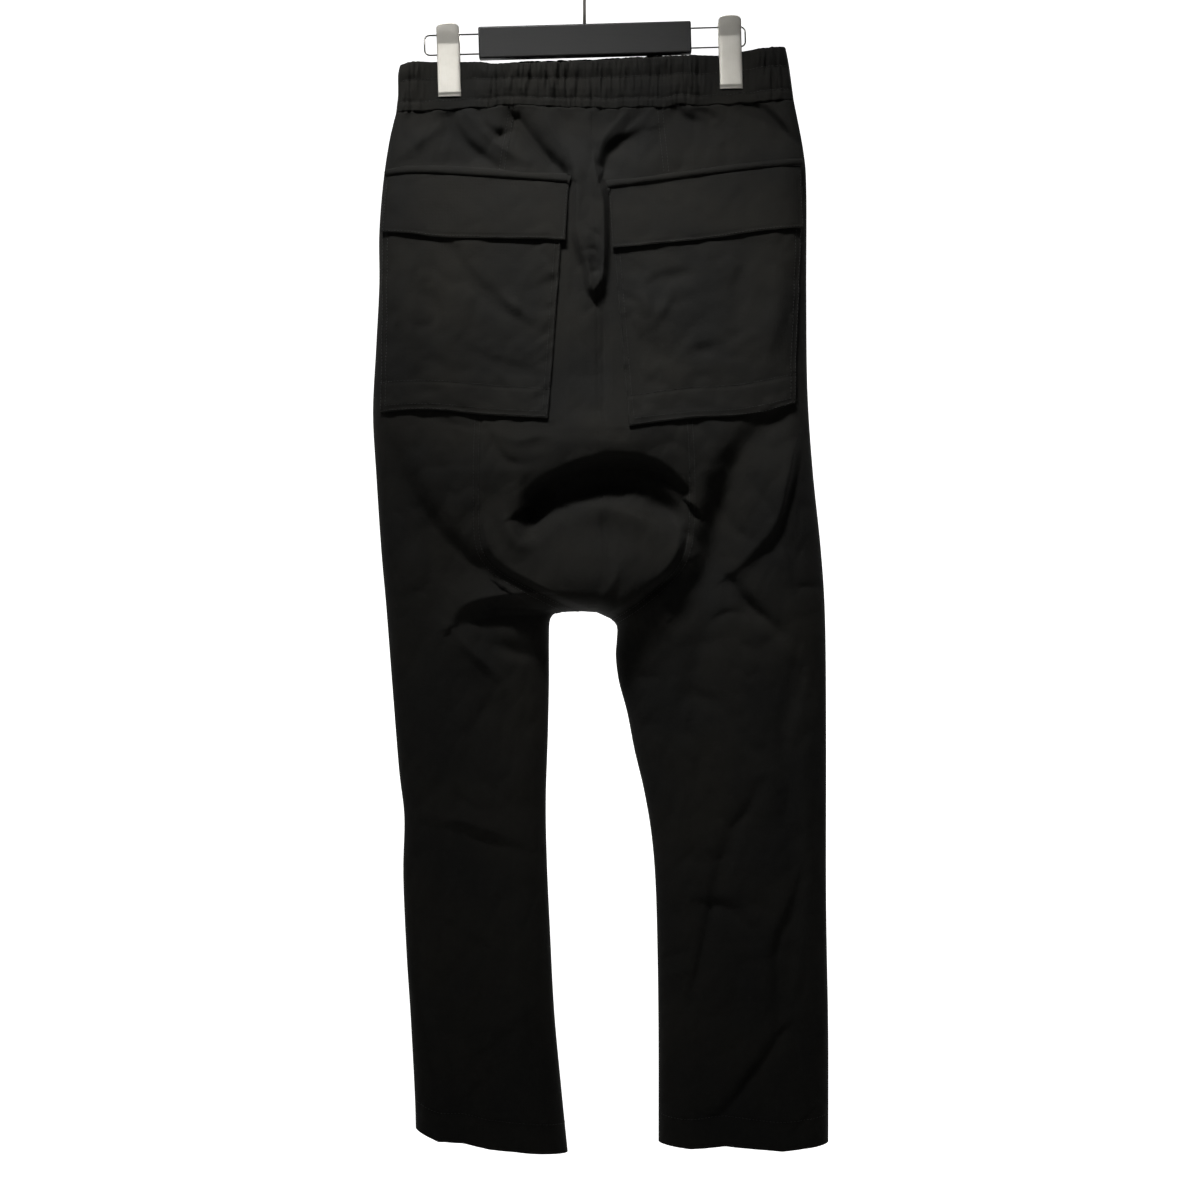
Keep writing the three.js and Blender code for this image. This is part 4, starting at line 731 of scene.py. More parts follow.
# Black cotton poplin, piece-dyed: a matt plain weave whose fibre ends catch a faint sheen. Real threads are
# 0.3 mm apart, and the weave is drawn at 1.4 mm so that it shows. Dye and wear make it slightly uneven.
BLACK_COTTON = "#1b1b1a"
WORN_COTTON = "#22211e"
WEAVE_PITCH = 0.0014
SLUB_SIZE = 0.0025
CRUMPLE_SIZE = 0.011
DYE_PATCH = 0.09
WAVE_PERIOD = 0.314  # a wave texture of scale 1 repeats every 0.314 m


def noise_field(tree, vector, size, detail, roughness=0.5):
    """Soft noise about size across, in metres where the vector is."""
    return add_node(tree, "ShaderNodeTexNoise", {}, {
        "Vector": vector, "Scale": 1 / size, "Detail": detail, "Roughness": roughness}).outputs["Fac"]


def between(tree, value, low, high, around=(0.3, 0.7)):
    """The value, which stays around 0.5, spread between low and high."""
    return add_node(tree, "ShaderNodeMapRange", {}, {
        "Value": value, "From Min": around[0], "From Max": around[1],
        "To Min": low, "To Max": high}).outputs["Result"]


def relief(tree, height, strength, distance, **under):
    """Normal of a relief, distance high in metres, over the Normal of another one where that is given."""
    return add_node(tree, "ShaderNodeBump", {}, {
        "Height": height, "Strength": strength, "Distance": distance, **under}).outputs["Normal"]


cotton, tree, shader, coordinates = new_material("black_cotton_poplin")
warp, weft = (
    add_node(tree, "ShaderNodeTexWave", {"wave_type": "BANDS", "bands_direction": direction}, {
        "Vector": coordinates.outputs["UV"], "Scale": WAVE_PERIOD / WEAVE_PITCH,
        "Distortion": 0.6, "Detail": 1, "Detail Scale": 1})
    for direction in ("X", "Y"))
threads = add_node(tree, "ShaderNodeMath", {"operation": "MULTIPLY"}, {
    0: warp.outputs["Color"], 1: weft.outputs["Color"]})
slub = noise_field(tree, coordinates.outputs["Object"], SLUB_SIZE, 3, 0.6)
patches = noise_field(tree, coordinates.outputs["Object"], DYE_PATCH, 4, 0.55)
wear = between(tree, patches, 0.0, 1.0, around=(0.35, 0.75))
colour = add_node(tree, "ShaderNodeMix", {"data_type": "RGBA"}, {
    0: wear, 6: linear(BLACK_COTTON), 7: linear(WORN_COTTON)})
crumple = add_node(tree, "ShaderNodeTexNoise", {"noise_type": "RIDGED_MULTIFRACTAL"}, {
    "Vector": coordinates.outputs["Object"], "Scale": 1 / CRUMPLE_SIZE, "Detail": 2, "Roughness": 0.5})
crumpled = relief(tree, crumple.outputs["Fac"], 0.4, 0.0008)
slubbed = relief(tree, slub, 0.55, 0.0005, Normal=crumpled)
woven = relief(tree, threads.outputs["Value"], 0.3, 0.0003, Normal=slubbed)
tree.links.new(colour.outputs[2], shader.inputs["Base Color"])
tree.links.new(between(tree, slub, 0.88, 0.98), shader.inputs["Roughness"])
tree.links.new(woven, shader.inputs["Normal"])
shader.inputs["Specular IOR Level"].default_value = 0.08
shader.inputs["Sheen Weight"].default_value = 0.015
shader.inputs["Sheen Roughness"].default_value = 0.4
shader.inputs["Sheen Tint"].default_value = (1, 0.98, 0.95, 1)

outer_edges = {hand: spline(rows[BAND_ROWS:]) for hand, rows in OUTSEAM.items()}
for hand, gap in (("left", -SEWN_GAP / 2), ("right", SEWN_GAP / 2)):
    inner_edge = np.vstack([beside(spline(SEAT_SEAM[hand]), gap), spline(INSEAM[hand])[1:]])
    edges = [outer_edges[hand], inner_edge]
    if hand == "right":
        edges.reverse()
    piece = panel(f"back_leg_{hand}_cloth", "back", *edges, 100, 450, cotton, HEM[hand])
    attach(piece, "root")
    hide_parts(f"back_leg_{hand}")


for hand in ("left", "right"):
    half = SEWN_GAP / 2
    if hand == "left":
        edges = [beside(spline(SEAT_SEAM["left"]), half), beside(spline(CENTRE_BACK), -half)]
    else:
        edges = [beside(spline(CENTRE_BACK), half), beside(spline(SEAT_SEAM["right"]), -half)]
    piece = panel(f"back_seat_{hand}_cloth", "back", *edges, 56, 280, cotton)
    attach(piece, "root")
    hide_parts(f"back_seat_{hand}")


for hand, gap in (("left", -SEWN_GAP / 2), ("right", SEWN_GAP / 2)):
    inseam = spline([CROTCH[1], *INSEAM[hand]])
    inner_edge = np.vstack([beside(spline(CENTRE_FRONT), gap), inseam[1:]])
    edges = [outer_edges[hand], inner_edge]
    if hand == "right":
        edges.reverse()
    piece = panel(f"front_leg_{hand}_cloth", "front", *edges, 60, 260, cotton, HEM[hand])
    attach(piece, "root")
    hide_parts(f"front_leg_{hand}")


# Waistband: a folded casing of the poplin round a wide elastic, in a back and a front half. Stitched channels
# split it into soft rolls, and the elastic gathers it into close uneven pleats with a frilled top edge.
BAND_WALL = 2.2
BAND_TOP = [
    (-177, 39), (-163, 36), (-105, 36), (-88, 39), (-43, 38), (15, 36), (63, 33), (102, 30.5), (130, 30),
    (154, 26), (170, 23), (193, 22),
]
FRONT_BAND_RISE = 5.6
BAND_ROLLS = {"share": [0, 0.06, 0.18, 0.28, 0.36, 0.45, 0.6, 0.74, 0.8, 0.86, 1],
              "rise": [-1.2, 0.1, 1.2, 0.4, -1.0, 0.3, 1.2, 0.4, -0.9, 0.1, -0.4],
              "gather": [0.8, 1, 1, 0.9, 0.8, 0.8, 0.9, 0.7, 0.5, 0.5, 0.6]}
GATHERS = {"rise": 4.6, "wide": 2.7, "tall": 20, "bunch_rise": 0.7, "bunch": 12}
FRILL = {"rise": 0.5, "share": 0.12}


def band_form(side, across, down, on_side):
    """Places on the waistband, by their shares across and down, and their depths."""
    seam = np.array(WAIST_SEAM[side], float)
    top = np.array(BAND_TOP, float)
    x = (1 - down) * (top[0, 0] + (top[-1, 0] - top[0, 0]) * across) \
        + down * (seam[0, 0] + (seam[-1, 0] - seam[0, 0]) * across)
    higher = FRONT_BAND_RISE * (1 - smoothstep(abs(x - 4), 60, 115)) if side == "front" else 0
    upper = np.interp(x, *top.T) - higher
    lower = np.interp(x, *seam.T) + waist_wave(x) - SEAM_GAP / 2
    at = np.column_stack([x, upper + (lower - upper) * down])
    side_x = np.where(x < 0, np.interp(at[:, 1], *np.array(OUTSEAM["left"], float).T[::-1]),
                      np.interp(at[:, 1], *np.array(OUTSEAM["right"], float).T[::-1]))
    at[on_side, 0] = side_x[on_side]
    depth = body_depth(side, at, fine=False)
    room = np.clip((depth - WAIST_HALF["clipped"]) / 4, 0.12, 1) * ~on_side
    stretch = (1, GATHERS["wide"] / GATHERS["tall"])
    gather = ripples(at * stretch, [(1, GATHERS["wide"], 7.7), (0.6, 1.9 * GATHERS["wide"], 2.9)])
    bunch = ripple(at * (1, 0.5), GATHERS["bunch"], 4.2)
    gathered = GATHERS["rise"] * gather * (0.8 + 0.8 * bunch) + GATHERS["bunch_rise"] * bunch
    raised = np.interp(down, BAND_ROLLS["share"], BAND_ROLLS["rise"]) \
        + gathered * np.interp(down, BAND_ROLLS["share"], BAND_ROLLS["gather"])
    at[:, 1] += FRILL["rise"] * bunch * (1 - smoothstep(down, 0, FRILL["share"])) * ~on_side
    return at, np.maximum(depth + raised * room, SEAM_GAP / 2)


for side in ("back", "front"):
    columns, rows = 330, 30
    mesh, across, down = cloth_grid(f"waistband_{side}_cloth", columns, rows, side == "front")
    on_side = (across < 0.5 / columns) | (across > 1 - 0.5 / columns)
    at, depth = band_form(side, across, down, on_side)
    piece = lay_cloth(mesh, frame_place(side, at, depth), at, BAND_WALL, cotton)
    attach(piece, "root")
    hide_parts(f"waistband_{side}")


# Pockets: a large patch pocket on each side of the back, cut from the poplin, its edges turned in and
# stitched, with a wide turned-up foot. It is sewn over the seam of seat and leg, and puckers along its rows.
POCKET_WALL = 0.9
POCKET_FACE = 2.2
POCKET_LEAST = 0.9
POCKET_PUFF = 2.4
POCKET_WAVES = [(1.1, 34, 6.1), (0.5, 13, 8.4)]
POCKET_CRINKLES = [(1.1, 30, 1, 2.6), (0.5, 15, 1, 7.7)]
POCKET_SLANT = {"left": 0.5, "right": -0.4}
FOOT_BAND = {"share": 0.87, "rise": 0.9, "groove": 0.45, "groove_share": 1.3 / 210}
ROW_GROOVE = {"depth": 0.4, "reach": 1.0}
EDGE_ROLL = {"drop": 1.2, "reach": 2.4}
STITCH_INSET = 3.2
POCKET_CREASES = {
    "left": [
        crease(-5.1, (4, 9), (-123, 219), (-107, 248), (-87, 264), (-75, 277), (-49, 293), ends=(0.4, 0.3)),
        crease(3.7, (3, 8), (-75, 264), (-55, 283)),
        crease(3.4, (3, 8), (-36, 232), (-27, 248), ends=(0.4, 0.3)),
        crease(-3.7, (3, 8), (-100, 318), (-87, 325), (-71, 330), (-43, 338)),
        crease(-2.7, (3, 7), (-81, 341), (-71, 360)),
        crease(3.4, (10, 11), (-176, 236), (-168, 282), (-158, 330)),
        crease(-2.5, (6, 9), (-150, 226), (-146, 262), (-136, 300)),
    ],
    "right": [
        crease(-3.7, (3, 7), (31, 229), (56, 238), ends=(0.5, 0.3)),
        crease(-3.4, (3, 8), (66, 248), (84, 243), (104, 242), ends=(0.4, 0.3)),
        crease(4.4, (4, 8), (53, 254), (60, 272), (66, 290)),
        crease(4.1, (4, 8), (82, 264), (74, 278), (66, 290)),
        crease(-3.7, (4, 7), (45, 306), (66, 315)),
        crease(-3.4, (3, 7), (104, 315), (124, 312)),
        crease(-3.4, (5, 9), (36, 264), (44, 300), (50, 344), (54, 370), ends=(0.3, 0.4)),
        crease(3.4, (7, 12), (186, 232), (182, 284), (170, 330)),
        crease(-2.7, (6, 9), (152, 226), (150, 262), (142, 300)),
    ],
}


def overlay_points(top, foot, height, across, down):
    """Places on cloth laid on the back between two edges that run from left to right. height gives how far
    its outer face stands off the back, from the place, the shares and the distance to the nearest edge."""
    upper, lower = along(top, across), along(foot, across)
    at = upper + (lower - upper) * down[:, None]
    wide, tall = lengths(top)[-1], np.hypot(*(lower - upper).T)
    edge = np.minimum(np.minimum(across, 1 - across) * wide, np.minimum(down, 1 - down) * tall)
    outward = outward_on("back", at)
    base = frame_place("back", at, body_depth("back", at, fine=False))
    return at, base + outward * height(at, across, down, edge)[:, None] / 1000, outward


def overlay(name, top, foot, wall, columns, rows, height, material):
    """Piece of cloth laid on the back."""
    mesh, across, down = cloth_grid(name, columns, rows)
    at, places, _ = overlay_points(top, foot, height, closer_at_ends(across), closer_at_ends(down))
    return lay_cloth(mesh, places, at, wall, material)


def pocket_height(hand):
    """Form of a pocket's outer face, for overlay."""
    def height(at, across, down, edge):
        creases = sum(crease_rise(one, at) for one in POCKET_CREASES[hand])
        creases += ripples(at, POCKET_WAVES) - crinkles(at, POCKET_CRINKLES)
        inside = round_off(edge, 16)
        puff = POCKET_PUFF * np.sin(np.pi * down) * np.sin(np.pi * across)
        below = down - FOOT_BAND["share"]
        band = FOOT_BAND["rise"] * smoothstep(below, -0.004, 0.004)
        groove = FOOT_BAND["groove"] * np.exp(-(below / FOOT_BAND["groove_share"]) ** 2) \
            + ROW_GROOVE["depth"] * np.exp(-((edge - STITCH_INSET) / ROW_GROOVE["reach"]) ** 2)
        from_inner = (1 - across if hand == "left" else across) * 165
        slanted = np.column_stack([at[:, 0] * 0.3, at[:, 1] + POCKET_SLANT[hand] * at[:, 0]])
        pucker = 0.7 * ripple(at, 7, 2.2) * np.exp(-((edge - STITCH_INSET) / 6) ** 2) \
            + 1.8 * ripple(slanted, 7, 1.2) * np.exp(-((from_inner - 8) / 13) ** 2)
        rolled = EDGE_ROLL["drop"] * (1 - round_off(edge, EDGE_ROLL["reach"]))
        raised = POCKET_FACE + puff + band - groove + pucker - rolled + creases * inside
        return np.maximum(raised, POCKET_LEAST)
    return height


for hand, outline in POCKETS.items():
    piece = overlay(f"pocket_{hand}_cloth", spline(outline["top"]), spline(outline["foot"]), POCKET_WALL,
                    84, 92, pocket_height(hand), cotton)
    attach(piece, "root")
    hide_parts(f"pocket_{hand}")


# Flaps: a double layer of the poplin over the mouth of each pocket, sewn in under the welt and loose at its
# foot, where it stands clear of the pocket and throws a shadow on it.
FLAP_WALL = 1.6
FLAP_LIFT = (1.6, 4.6)
FLAP_PUFF = 1.5
FLAP_SEED = {"left": 3.3, "right": 12.6}
WELT_HEIGHT = 6.5


def flap_height(seed):
    """Form of a flap's outer face, for overlay."""
    def height(at, across, down, edge):
        lift = FLAP_LIFT[0] + (FLAP_LIFT[1] - FLAP_LIFT[0]) * down
        puff = FLAP_PUFF * np.sin(np.pi * down) * np.sin(np.pi * across)
        wave = ripples(at, [(1.2, 38, seed), (0.4, 14, seed + 4)]) - crinkles(at, [(0.7, 26, 1, seed + 9)])
        wave = wave * round_off(edge, 9) + 0.9 * down ** 2 * ripple(at, 24, seed + 7)
        groove = ROW_GROOVE["depth"] * np.exp(-((edge - STITCH_INSET) / ROW_GROOVE["reach"]) ** 2) \
            * smoothstep(down, 0.2, 0.3)
        rolled = 0.8 * (1 - round_off(edge, EDGE_ROLL["reach"])) * smoothstep(down, 0.02, 0.1)
        return lift + FLAP_WALL + puff + wave - groove - rolled
    return height


def lowered(points, drop):
    """The points moved down the cloth."""
    return [(across, down + drop) for across, down in points]


for hand, outline in POCKETS.items():
    top = spline(lowered(outline["welt_top"], WELT_HEIGHT + SEAM_GAP))
    piece = overlay(f"flap_{hand}_cloth", top, spline(outline["flap_foot"]), FLAP_WALL, 84, 40,
                    flap_height(FLAP_SEED[hand]), cotton)
    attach(piece, "root")
    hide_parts(f"flap_{hand}")


# Welts: the flap's upper edge, folded into a soft roll and stitched down on the back panels.
WELT_WALL = 2.6
WELT_FACE = 4.3
WELT_ROLL = 1.6
WELT_EDGE = {"drop": 0.8, "reach": 2.0}


def welt_height(at, across, down, edge):
    """Form of a welt's outer face, for overlay."""
    roll = WELT_ROLL * np.sin(np.pi * down) ** 0.8
    pucker = 0.35 * ripple(at * (1, 0.4), 6, 5.5) + 0.3 * ripple(at, 20, 1.5)
    rolled = WELT_EDGE["drop"] * (1 - round_off(edge, WELT_EDGE["reach"]))
    return WELT_FACE + roll + pucker * np.sin(np.pi * down) - rolled


for hand, outline in POCKETS.items():
    foot = spline(lowered(outline["welt_top"], WELT_HEIGHT))
    piece = overlay(f"welt_{hand}_cloth", spline(outline["welt_top"]), foot, WELT_WALL, 150, 14,
                    welt_height, cotton)
    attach(piece, "root")
    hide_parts(f"welt_{hand}")


# Stitching: rows of lockstitch in black polyester thread, which hold the waistband's channels, the pockets,
# the flaps, the hems and the seat's seams. Each stitch is a short bar of thread pressed into the cloth.
STITCH = {"length": 2.4, "thick": 0.5, "pitch": 3.3, "proud": 0.25}
POCKET_ROWS = (1.6, 6.2)
FLAP_ROW = 1.6
SEAM_ROWS = (1.8, 6.6)
CHANNEL_SHARES = (0.36, 0.8)
THREAD_BLACK = "#232322"
THREAD_TWIST = 0.0006

thread, tree, shader, coordinates = new_material("black_polyester_thread")
twist = noise_field(tree, coordinates.outputs["Object"], THREAD_TWIST, 2)
tree.links.new(between(tree, twist, 0.45, 0.65), shader.inputs["Roughness"])
shader.inputs["Base Color"].default_value = linear(THREAD_BLACK)
shader.inputs["Specular IOR Level"].default_value = 0.3


def sew(name, rows):
    """Stitches along rows of close points, each row given with its outward directions, as one new piece."""
    bm = bmesh.new()
    long, thick = STITCH["length"] / 2000, STITCH["thick"] / 2000
    for places, outward in rows:
        gone = np.concatenate([[0], np.cumsum(np.linalg.norm(np.diff(places, axis=0), axis=1))])
        stops = np.arange(STITCH["pitch"] / 2000, gone[-1], STITCH["pitch"] / 1000)
        middle, before, after, normal = (
            np.column_stack([np.interp(stops + shift, gone, values[:, i]) for i in range(3)])
            for values, shift in ((places, 0), (places, -long), (places, long), (outward, 0)))
        for here, tangent, up in zip(middle, after - before, normal):
            tangent, up = Vector(tangent).normalized(), Vector(up).normalized()
            across = up.cross(tangent).normalized()
            up = tangent.cross(across)
            turn = Matrix((tangent * long, across * thick, up * thick)).transposed().to_4x4()
            place = Matrix.Translation(Vector(here) + up * STITCH["proud"] / 1000)
            bmesh.ops.create_icosphere(bm, subdivisions=1, radius=1, matrix=place @ turn)
    piece = add_object(name, bm, thread)
    piece.data.shade_smooth()
    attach(piece, "root")


def overlay_rows(outline, height, ends):
    """Rows on a laid-on piece, each from one place to another, given as shares across and down."""
    rows = []
    for start, end in ends:
        shares = np.linspace(start, end, 120)
        rows.append(overlay_points(*outline, height, shares[:, 0], shares[:, 1])[1:])
    return rows


def round_three_sides(outline, inset, starts):
    """Ends of the rows that run at an inset down both sides of a laid-on piece and along its foot."""
    top, foot = outline
    left, low = inset / lengths(top)[-1], 1 - inset / np.hypot(*(foot[0] - top[0]))
    right = 1 - left
    return [((left, starts), (left, low)), ((left, low), (right, low)), ((right, starts), (right, low))]


def body_row(side, line):
    """Row on the body's panels, left out where a pocket covers it."""
    at = along(line, np.linspace(0, 1, 400))
    covered = under_pocket(at, SINK_FADE_OUT) > 0.05 if side == "back" else np.zeros(len(at), bool)
    places, outward = frame_place(side, at, body_depth(side, at)), outward_on(side, at)
    pieces = np.split(np.arange(len(at)), np.flatnonzero(np.diff(covered)) + 1)
    return [(places[part], outward[part]) for part in pieces if not covered[part[0]] and len(part) > 2]


for hand, outline in POCKETS.items():
    patch = spline(outline["top"]), spline(outline["foot"])
    ends = [((0, FOOT_BAND["share"] - 0.008), (1, FOOT_BAND["share"] - 0.008))]
    for inset in POCKET_ROWS:
        ends += round_three_sides(patch, inset, 0.2)
    sew(f"pocket_{hand}_stitches", overlay_rows(patch, pocket_height(hand), ends))

    flap = spline(lowered(outline["welt_top"], WELT_HEIGHT + SEAM_GAP)), spline(outline["flap_foot"])
    ends = round_three_sides(flap, FLAP_ROW, 0.06)
    sew(f"flap_{hand}_stitches", overlay_rows(flap, flap_height(FLAP_SEED[hand]), ends))

for side in ("back", "front"):
    rows = []
    for share in CHANNEL_SHARES:
        across = np.linspace(0.01, 0.99, 900)
        at, depth = band_form(side, across, np.full_like(across, share), np.zeros(across.shape, bool))
        rows.append((frame_place(side, at, depth), outward_on(side, at)))
    sew(f"waistband_{side}_stitches", rows)
    rows = []
    for hem in HEM.values():
        rows += body_row(side, spline(hem)[1:-1] - (0, HEM_DEPTH))
    sew(f"hem_{side}_stitches", rows)

rows = []
for hand, away in (("left", -1), ("right", 1)):
    for inset in SEAM_ROWS:
        rows += body_row("back", beside(spline(SEAT_SEAM[hand]), away * inset))
sew("seat_seam_stitches", rows)


# Hanger bar: a flat bar of wood under satin black lacquer, its edges eased, tilted as the hanger hangs.
BAR = {"length": 204, "height": 30.5, "depth": 13, "ease": 1.6}
HANGER_TILT = math.radians(1.6)
LACQUER_BLACK = "#191918"
ORANGE_PEEL = 0.0015
hang_turn = Matrix.Translation((0, 0, BAR_TOP / 1000)) @ Matrix.Rotation(-HANGER_TILT, 4, "Y")

lacquer, tree, shader, coordinates = new_material("satin_black_lacquer")
stretched = add_node(tree, "ShaderNodeMapping", {}, {
    "Vector": coordinates.outputs["Object"], "Scale": (30, 160, 160)})
grain = noise_field(tree, stretched.outputs["Vector"], 1 / 3, 4)
orange_peel = noise_field(tree, coordinates.outputs["Object"], ORANGE_PEEL, 1)
peeled = relief(tree, orange_peel, 0.12, 0.0002)
shader.inputs["Base Color"].default_value = linear(LACQUER_BLACK)
tree.links.new(between(tree, grain, 0.42, 0.55), shader.inputs["Roughness"])
tree.links.new(relief(tree, grain, 0.1, 0.0003, Normal=peeled), shader.inputs["Normal"])


def finish_hard(name, bm, material, turn=None):
    """Turns a mesh in millimetres into a finished object in the frame, with its faces outwards."""
    bmesh.ops.recalc_face_normals(bm, faces=bm.faces)
    bmesh.ops.transform(bm, verts=bm.verts, matrix=(turn or Matrix()) @ Matrix.Scale(0.001, 4))
    return add_object(name, bm, material)


bm = bmesh.new()
bmesh.ops.create_cube(bm, size=1)
bmesh.ops.scale(bm, verts=bm.verts, vec=(BAR["length"], BAR["depth"], BAR["height"]))
bmesh.ops.translate(bm, verts=bm.verts, vec=(0, 0, -BAR["height"] / 2))
bmesh.ops.bevel(bm, geom=bm.edges[:], offset=BAR["ease"], segments=4, profile=0.5, affect="EDGES",
                material=-1)
largest_eased_face = 900
for face in bm.faces:
    face.smooth = len(face.verts) == 4 and face.calc_area() < largest_eased_face
bar = finish_hard("hanger_bar_lacquered", bm, lacquer, hang_turn)
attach(bar, "root")
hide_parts("hanger_bar")


# Hook: one length of round steel wire with a satin finish, screwed into the bar. It runs straight up, leans
# out to the right and bends round over the rail.
HOOK_WIRE = 3.2
HOOK_BEND = 22
HOOK_SHANK_TOP = -(HOOK_BEND - HOOK_WIRE / 2) - HOOK_BEND - 8
HOOK_ARC = (-0.25 * math.pi, 1.12 * math.pi)
HOOK_LEAD = 7



def wire_metal(name, colour, mark_size, detail, rough):
    """Steel whose drawing or scale marks, of mark_size, make its gloss uneven between two roughnesses."""
    metal, tree, shader, coordinates = new_material(name)
    marks = noise_field(tree, coordinates.outputs["Object"], mark_size, detail)
    shader.inputs["Base Color"].default_value = linear(colour)
    shader.inputs["Metallic"].default_value = 1
    tree.links.new(between(tree, marks, *rough), shader.inputs["Roughness"])
    return metal


steel = wire_metal("satin_steel_wire", "#b9b6af", 0.0012, 2, (0.3, 0.42))


def bezier(a, b, c, d, steps):
    """Points on a cubic curve, without its last."""
    points = []
    for i in range(steps):
        t = i / steps
        points.append(a * (1 - t) ** 3 + 3 * b * t * (1 - t) ** 2 + 3 * c * t * t * (1 - t) + d * t ** 3)
    return points


def wire(points, diameter, sides=16):
    """Round wire along points in the hanger's plane, closed at both ends."""
    bm = bmesh.new()
    directions = [(b - a).normalized() for a, b in zip(points, points[1:])]
    directions.append(directions[-1])
    toward = directions[0].to_track_quat("Z", "Y").to_matrix().to_4x4()
    made = bmesh.ops.create_circle(bm, cap_ends=True, radius=diameter / 2, segments=sides,
                                   matrix=Matrix.Translation(points[0]) @ toward)
    end = made["verts"][0].link_faces[0]
    for i in range(1, len(points)):
        made = bmesh.ops.extrude_face_region(bm, geom=[end])["geom"]
        end = next(part for part in made if isinstance(part, bmesh.types.BMFace))
        bmesh.ops.translate(bm, verts=end.verts, vec=points[i] - points[i - 1])
        before = (directions[i - 2] + directions[i - 1]) if i > 1 else directions[0]
        after = directions[i - 1] + directions[i]
        turn = before.rotation_difference(after).to_matrix()
        bmesh.ops.rotate(bm, verts=end.verts, cent=points[i], matrix=turn)
    for face in bm.faces:
        face.smooth = len(face.verts) == 4
    return bm


hook_centre = Vector((0, 0, -(HOOK_BEND - HOOK_WIRE / 2)))
arc_points = [
    hook_centre + HOOK_BEND * Vector((math.cos(angle), 0, math.sin(angle)))
    for angle in np.linspace(*HOOK_ARC, 49)]
shank = [Vector((0, 0, BAR_TOP + SEAM_GAP)), Vector((0, 0, HOOK_SHANK_TOP - 12))]
lean = bezier(Vector((0, 0, HOOK_SHANK_TOP)), Vector((0, 0, HOOK_SHANK_TOP + HOOK_LEAD)),
              arc_points[0] - HOOK_LEAD * Vector((1, 0, 1)).normalized(), arc_points[0], 10)
hook = finish_hard("hanger_hook_wire", wire([*shank, *lean, *arc_points], HOOK_WIRE), steel)
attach(hook, "root")
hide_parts("hanger_hook")


# Loops: at each end of the bar a thin steel wire bent into a long U, along which its clip slides.
LOOP = {"wire": 1.6, "upper": 6, "lower": 25, "reach": 154, "corner": 5}

dark_wire = wire_metal("blackened_steel_wire", "#8c8a86", 0.002, 3, (0.36, 0.5))

for hand, direction in (("left", -1), ("right", 1)):
    start, reach, corner = BAR["length"] / 2 + SEAM_GAP, LOOP["reach"], LOOP["corner"]
    outline = [(start, -LOOP["upper"]), (reach - corner - 1, -LOOP["upper"])]
    for level, first in ((-LOOP["upper"] - corner, math.pi / 2), (-LOOP["lower"] + corner, 0)):
        for angle in np.linspace(first, first - math.pi / 2, 9):
            outline.append((reach - corner + corner * math.cos(angle), level + corner * math.sin(angle)))
    outline.append((start, -LOOP["lower"]))
    points = [Vector((x * direction, 0, z)) for x, z in outline]
    loop = finish_hard(f"hanger_loop_{hand}_wire", wire(points, LOOP["wire"], 12), dark_wire, hang_turn)
    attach(loop, "root")
    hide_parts(f"hanger_loop_{hand}")


# Clips: two plates pressed from steel strip and nickel-plated to a satin grey, arched at the top and turned
# in at the jaw. A coil spring round the loop's lower wire shuts them on the waistband.
CLIP = {"width": 22, "top": -3.5, "height": 69.5, "plate": 1.2, "arch": 1.6, "corner": 2.4, "side_roll": 0.5}
PLATE_EASE = 0.3
NICKEL = {"clean": "#e8e5dd", "tarnished": "#d2cec4", "clouds": 0.012}
JAW = WAIST_HALF["clipped"] + SEAM_GAP * 1.5
CLIP_BEND = [(0, 8.6), (8, 7.6), (19, 5.6), (40, 5.3), (66.2, JAW + 1.1), (67.3, JAW), (69.5, JAW)]
SPRING = {"radius": 3.5, "wire": 1.4, "turns": 6, "length": 16}

nickel, tree, shader, coordinates = new_material("satin_nickel_plate")
brushed = add_node(tree, "ShaderNodeMapping", {}, {
    "Vector": coordinates.outputs["Object"], "Scale": (1500, 1500, 60)})
strokes = noise_field(tree, brushed.outputs["Vector"], 1, 3)
clouds = noise_field(tree, coordinates.outputs["Object"], NICKEL["clouds"], 3)
tarnish = add_node(tree, "ShaderNodeMix", {"data_type": "RGBA"}, {
    0: clouds, 6: linear(NICKEL["clean"]), 7: linear(NICKEL["tarnished"])})
shader.inputs["Metallic"].default_value = 1
tree.links.new(tarnish.outputs[2], shader.inputs["Base Color"])
tree.links.new(between(tree, strokes, 0.42, 0.6, around=(0.25, 0.75)), shader.inputs["Roughness"])
tree.links.new(relief(tree, strokes, 0.08, 0.0002), shader.inputs["Normal"])

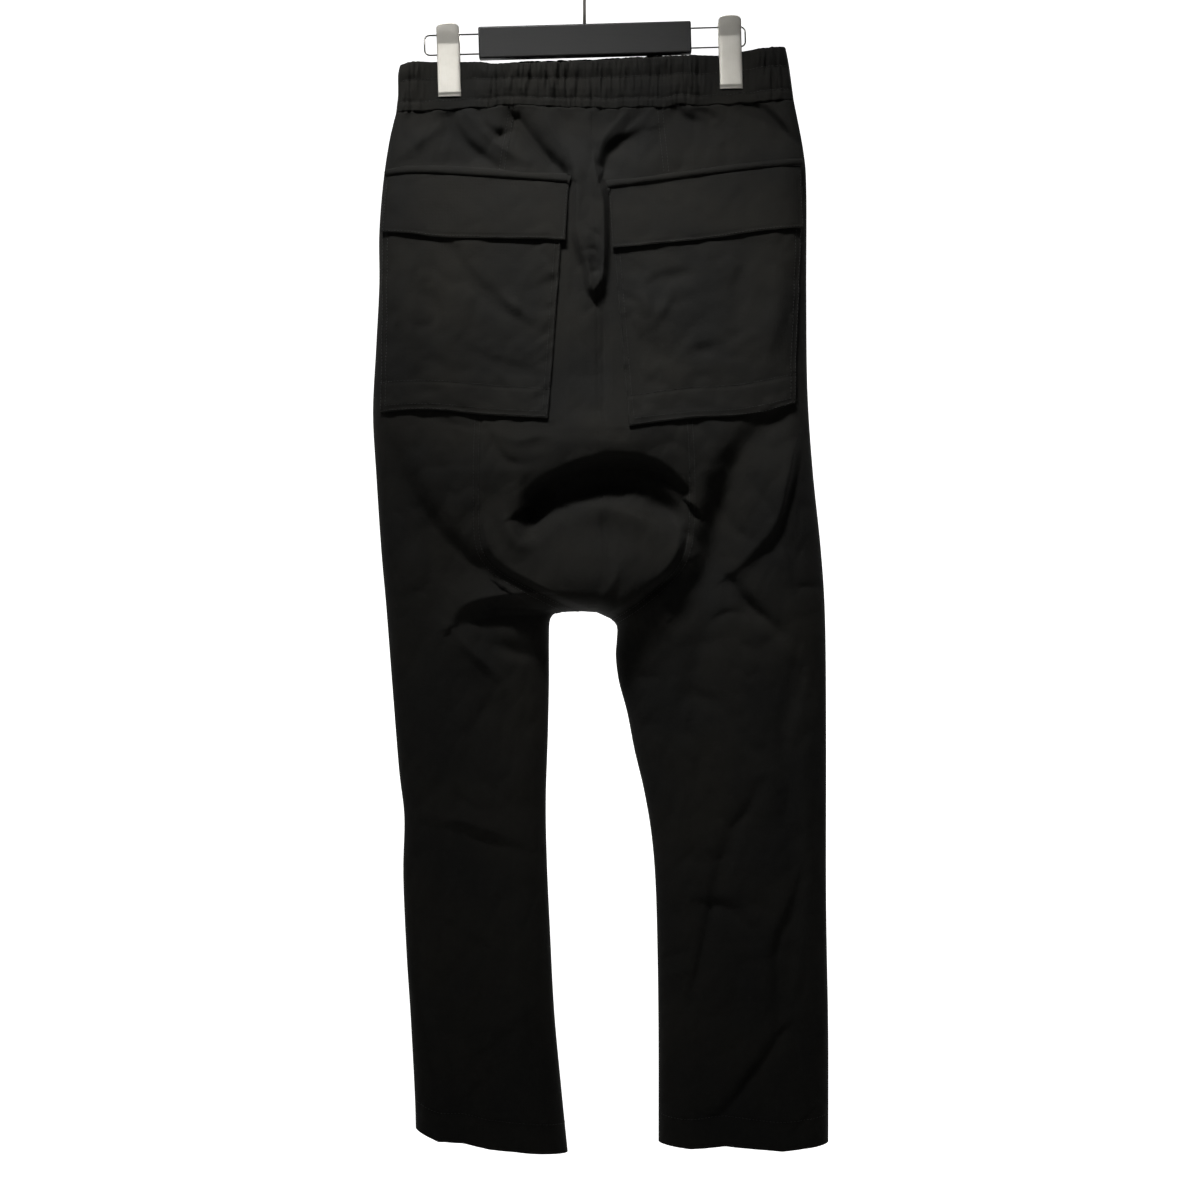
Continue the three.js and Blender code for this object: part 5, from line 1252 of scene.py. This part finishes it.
for hand, place in zip(("left", "right"), CLIP_PLACES):
    turn = hang_turn @ Matrix.Translation((place / 1000, 0, -CLIP["top"] / 1000))
    for part, outward in (("face", -1), ("rear", 1)):
        bm = bmesh.new()
        bmesh.ops.create_grid(bm, x_segments=14, y_segments=56, size=0.5)
        bend = np.array(CLIP_BEND, float)
        for vertex in bm.verts:
            across, down = vertex.co.x * 2, 0.5 - vertex.co.y
            arch = CLIP["corner"] * across ** 8 + CLIP["arch"] * across ** 2
            level = down * CLIP["height"] + arch * (1 - down) ** 8
            away = np.interp(level, *bend.T) + CLIP["plate"] - CLIP["side_roll"] * across ** 6
            vertex.co = Vector((across * CLIP["width"] / 2, outward * away, -level))
        if outward > 0:
            bmesh.ops.reverse_faces(bm, faces=bm.faces)
        for face in bm.faces:
            face.smooth = True
        bmesh.ops.transform(bm, verts=bm.verts, matrix=turn @ Matrix.Scale(0.001, 4))
        plate = add_object(f"clip_{hand}_{part}_plate", bm, nickel)
        shell = plate.modifiers.new("thickness", "SOLIDIFY")
        shell.thickness, shell.offset = CLIP["plate"] / 1000, -1
        rim = plate.modifiers.new("eased_edges", "BEVEL")
        rim.width, rim.segments, rim.limit_method = PLATE_EASE / 1000, 2, "ANGLE"
        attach(plate, "root")
        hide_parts(f"clip_{hand}_{part}")
    bm = bmesh.new()
    level = CLIP["top"] - LOOP["lower"]
    bmesh.ops.create_circle(bm, radius=SPRING["wire"] / 2, segments=8, matrix=Matrix.Translation(
        (-SPRING["length"] / 2, SPRING["radius"], level)) @ Matrix.Rotation(math.pi, 4, "Z"))
    steps = SPRING["turns"] * 20
    bmesh.ops.spin(bm, geom=bm.verts[:] + bm.edges[:], cent=(0, 0, level), axis=(1, 0, 0),
                   angle=2 * math.pi * SPRING["turns"], steps=steps, dvec=(SPRING["length"] / steps, 0, 0))
    bmesh.ops.holes_fill(bm, edges=[e for e in bm.edges if e.is_boundary], sides=8)
    for face in bm.faces:
        face.smooth = len(face.verts) == 4
    spring = finish_hard(f"clip_{hand}_coil", bm, steel, turn)
    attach(spring, "root")
    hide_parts(f"clip_{hand}_spring")
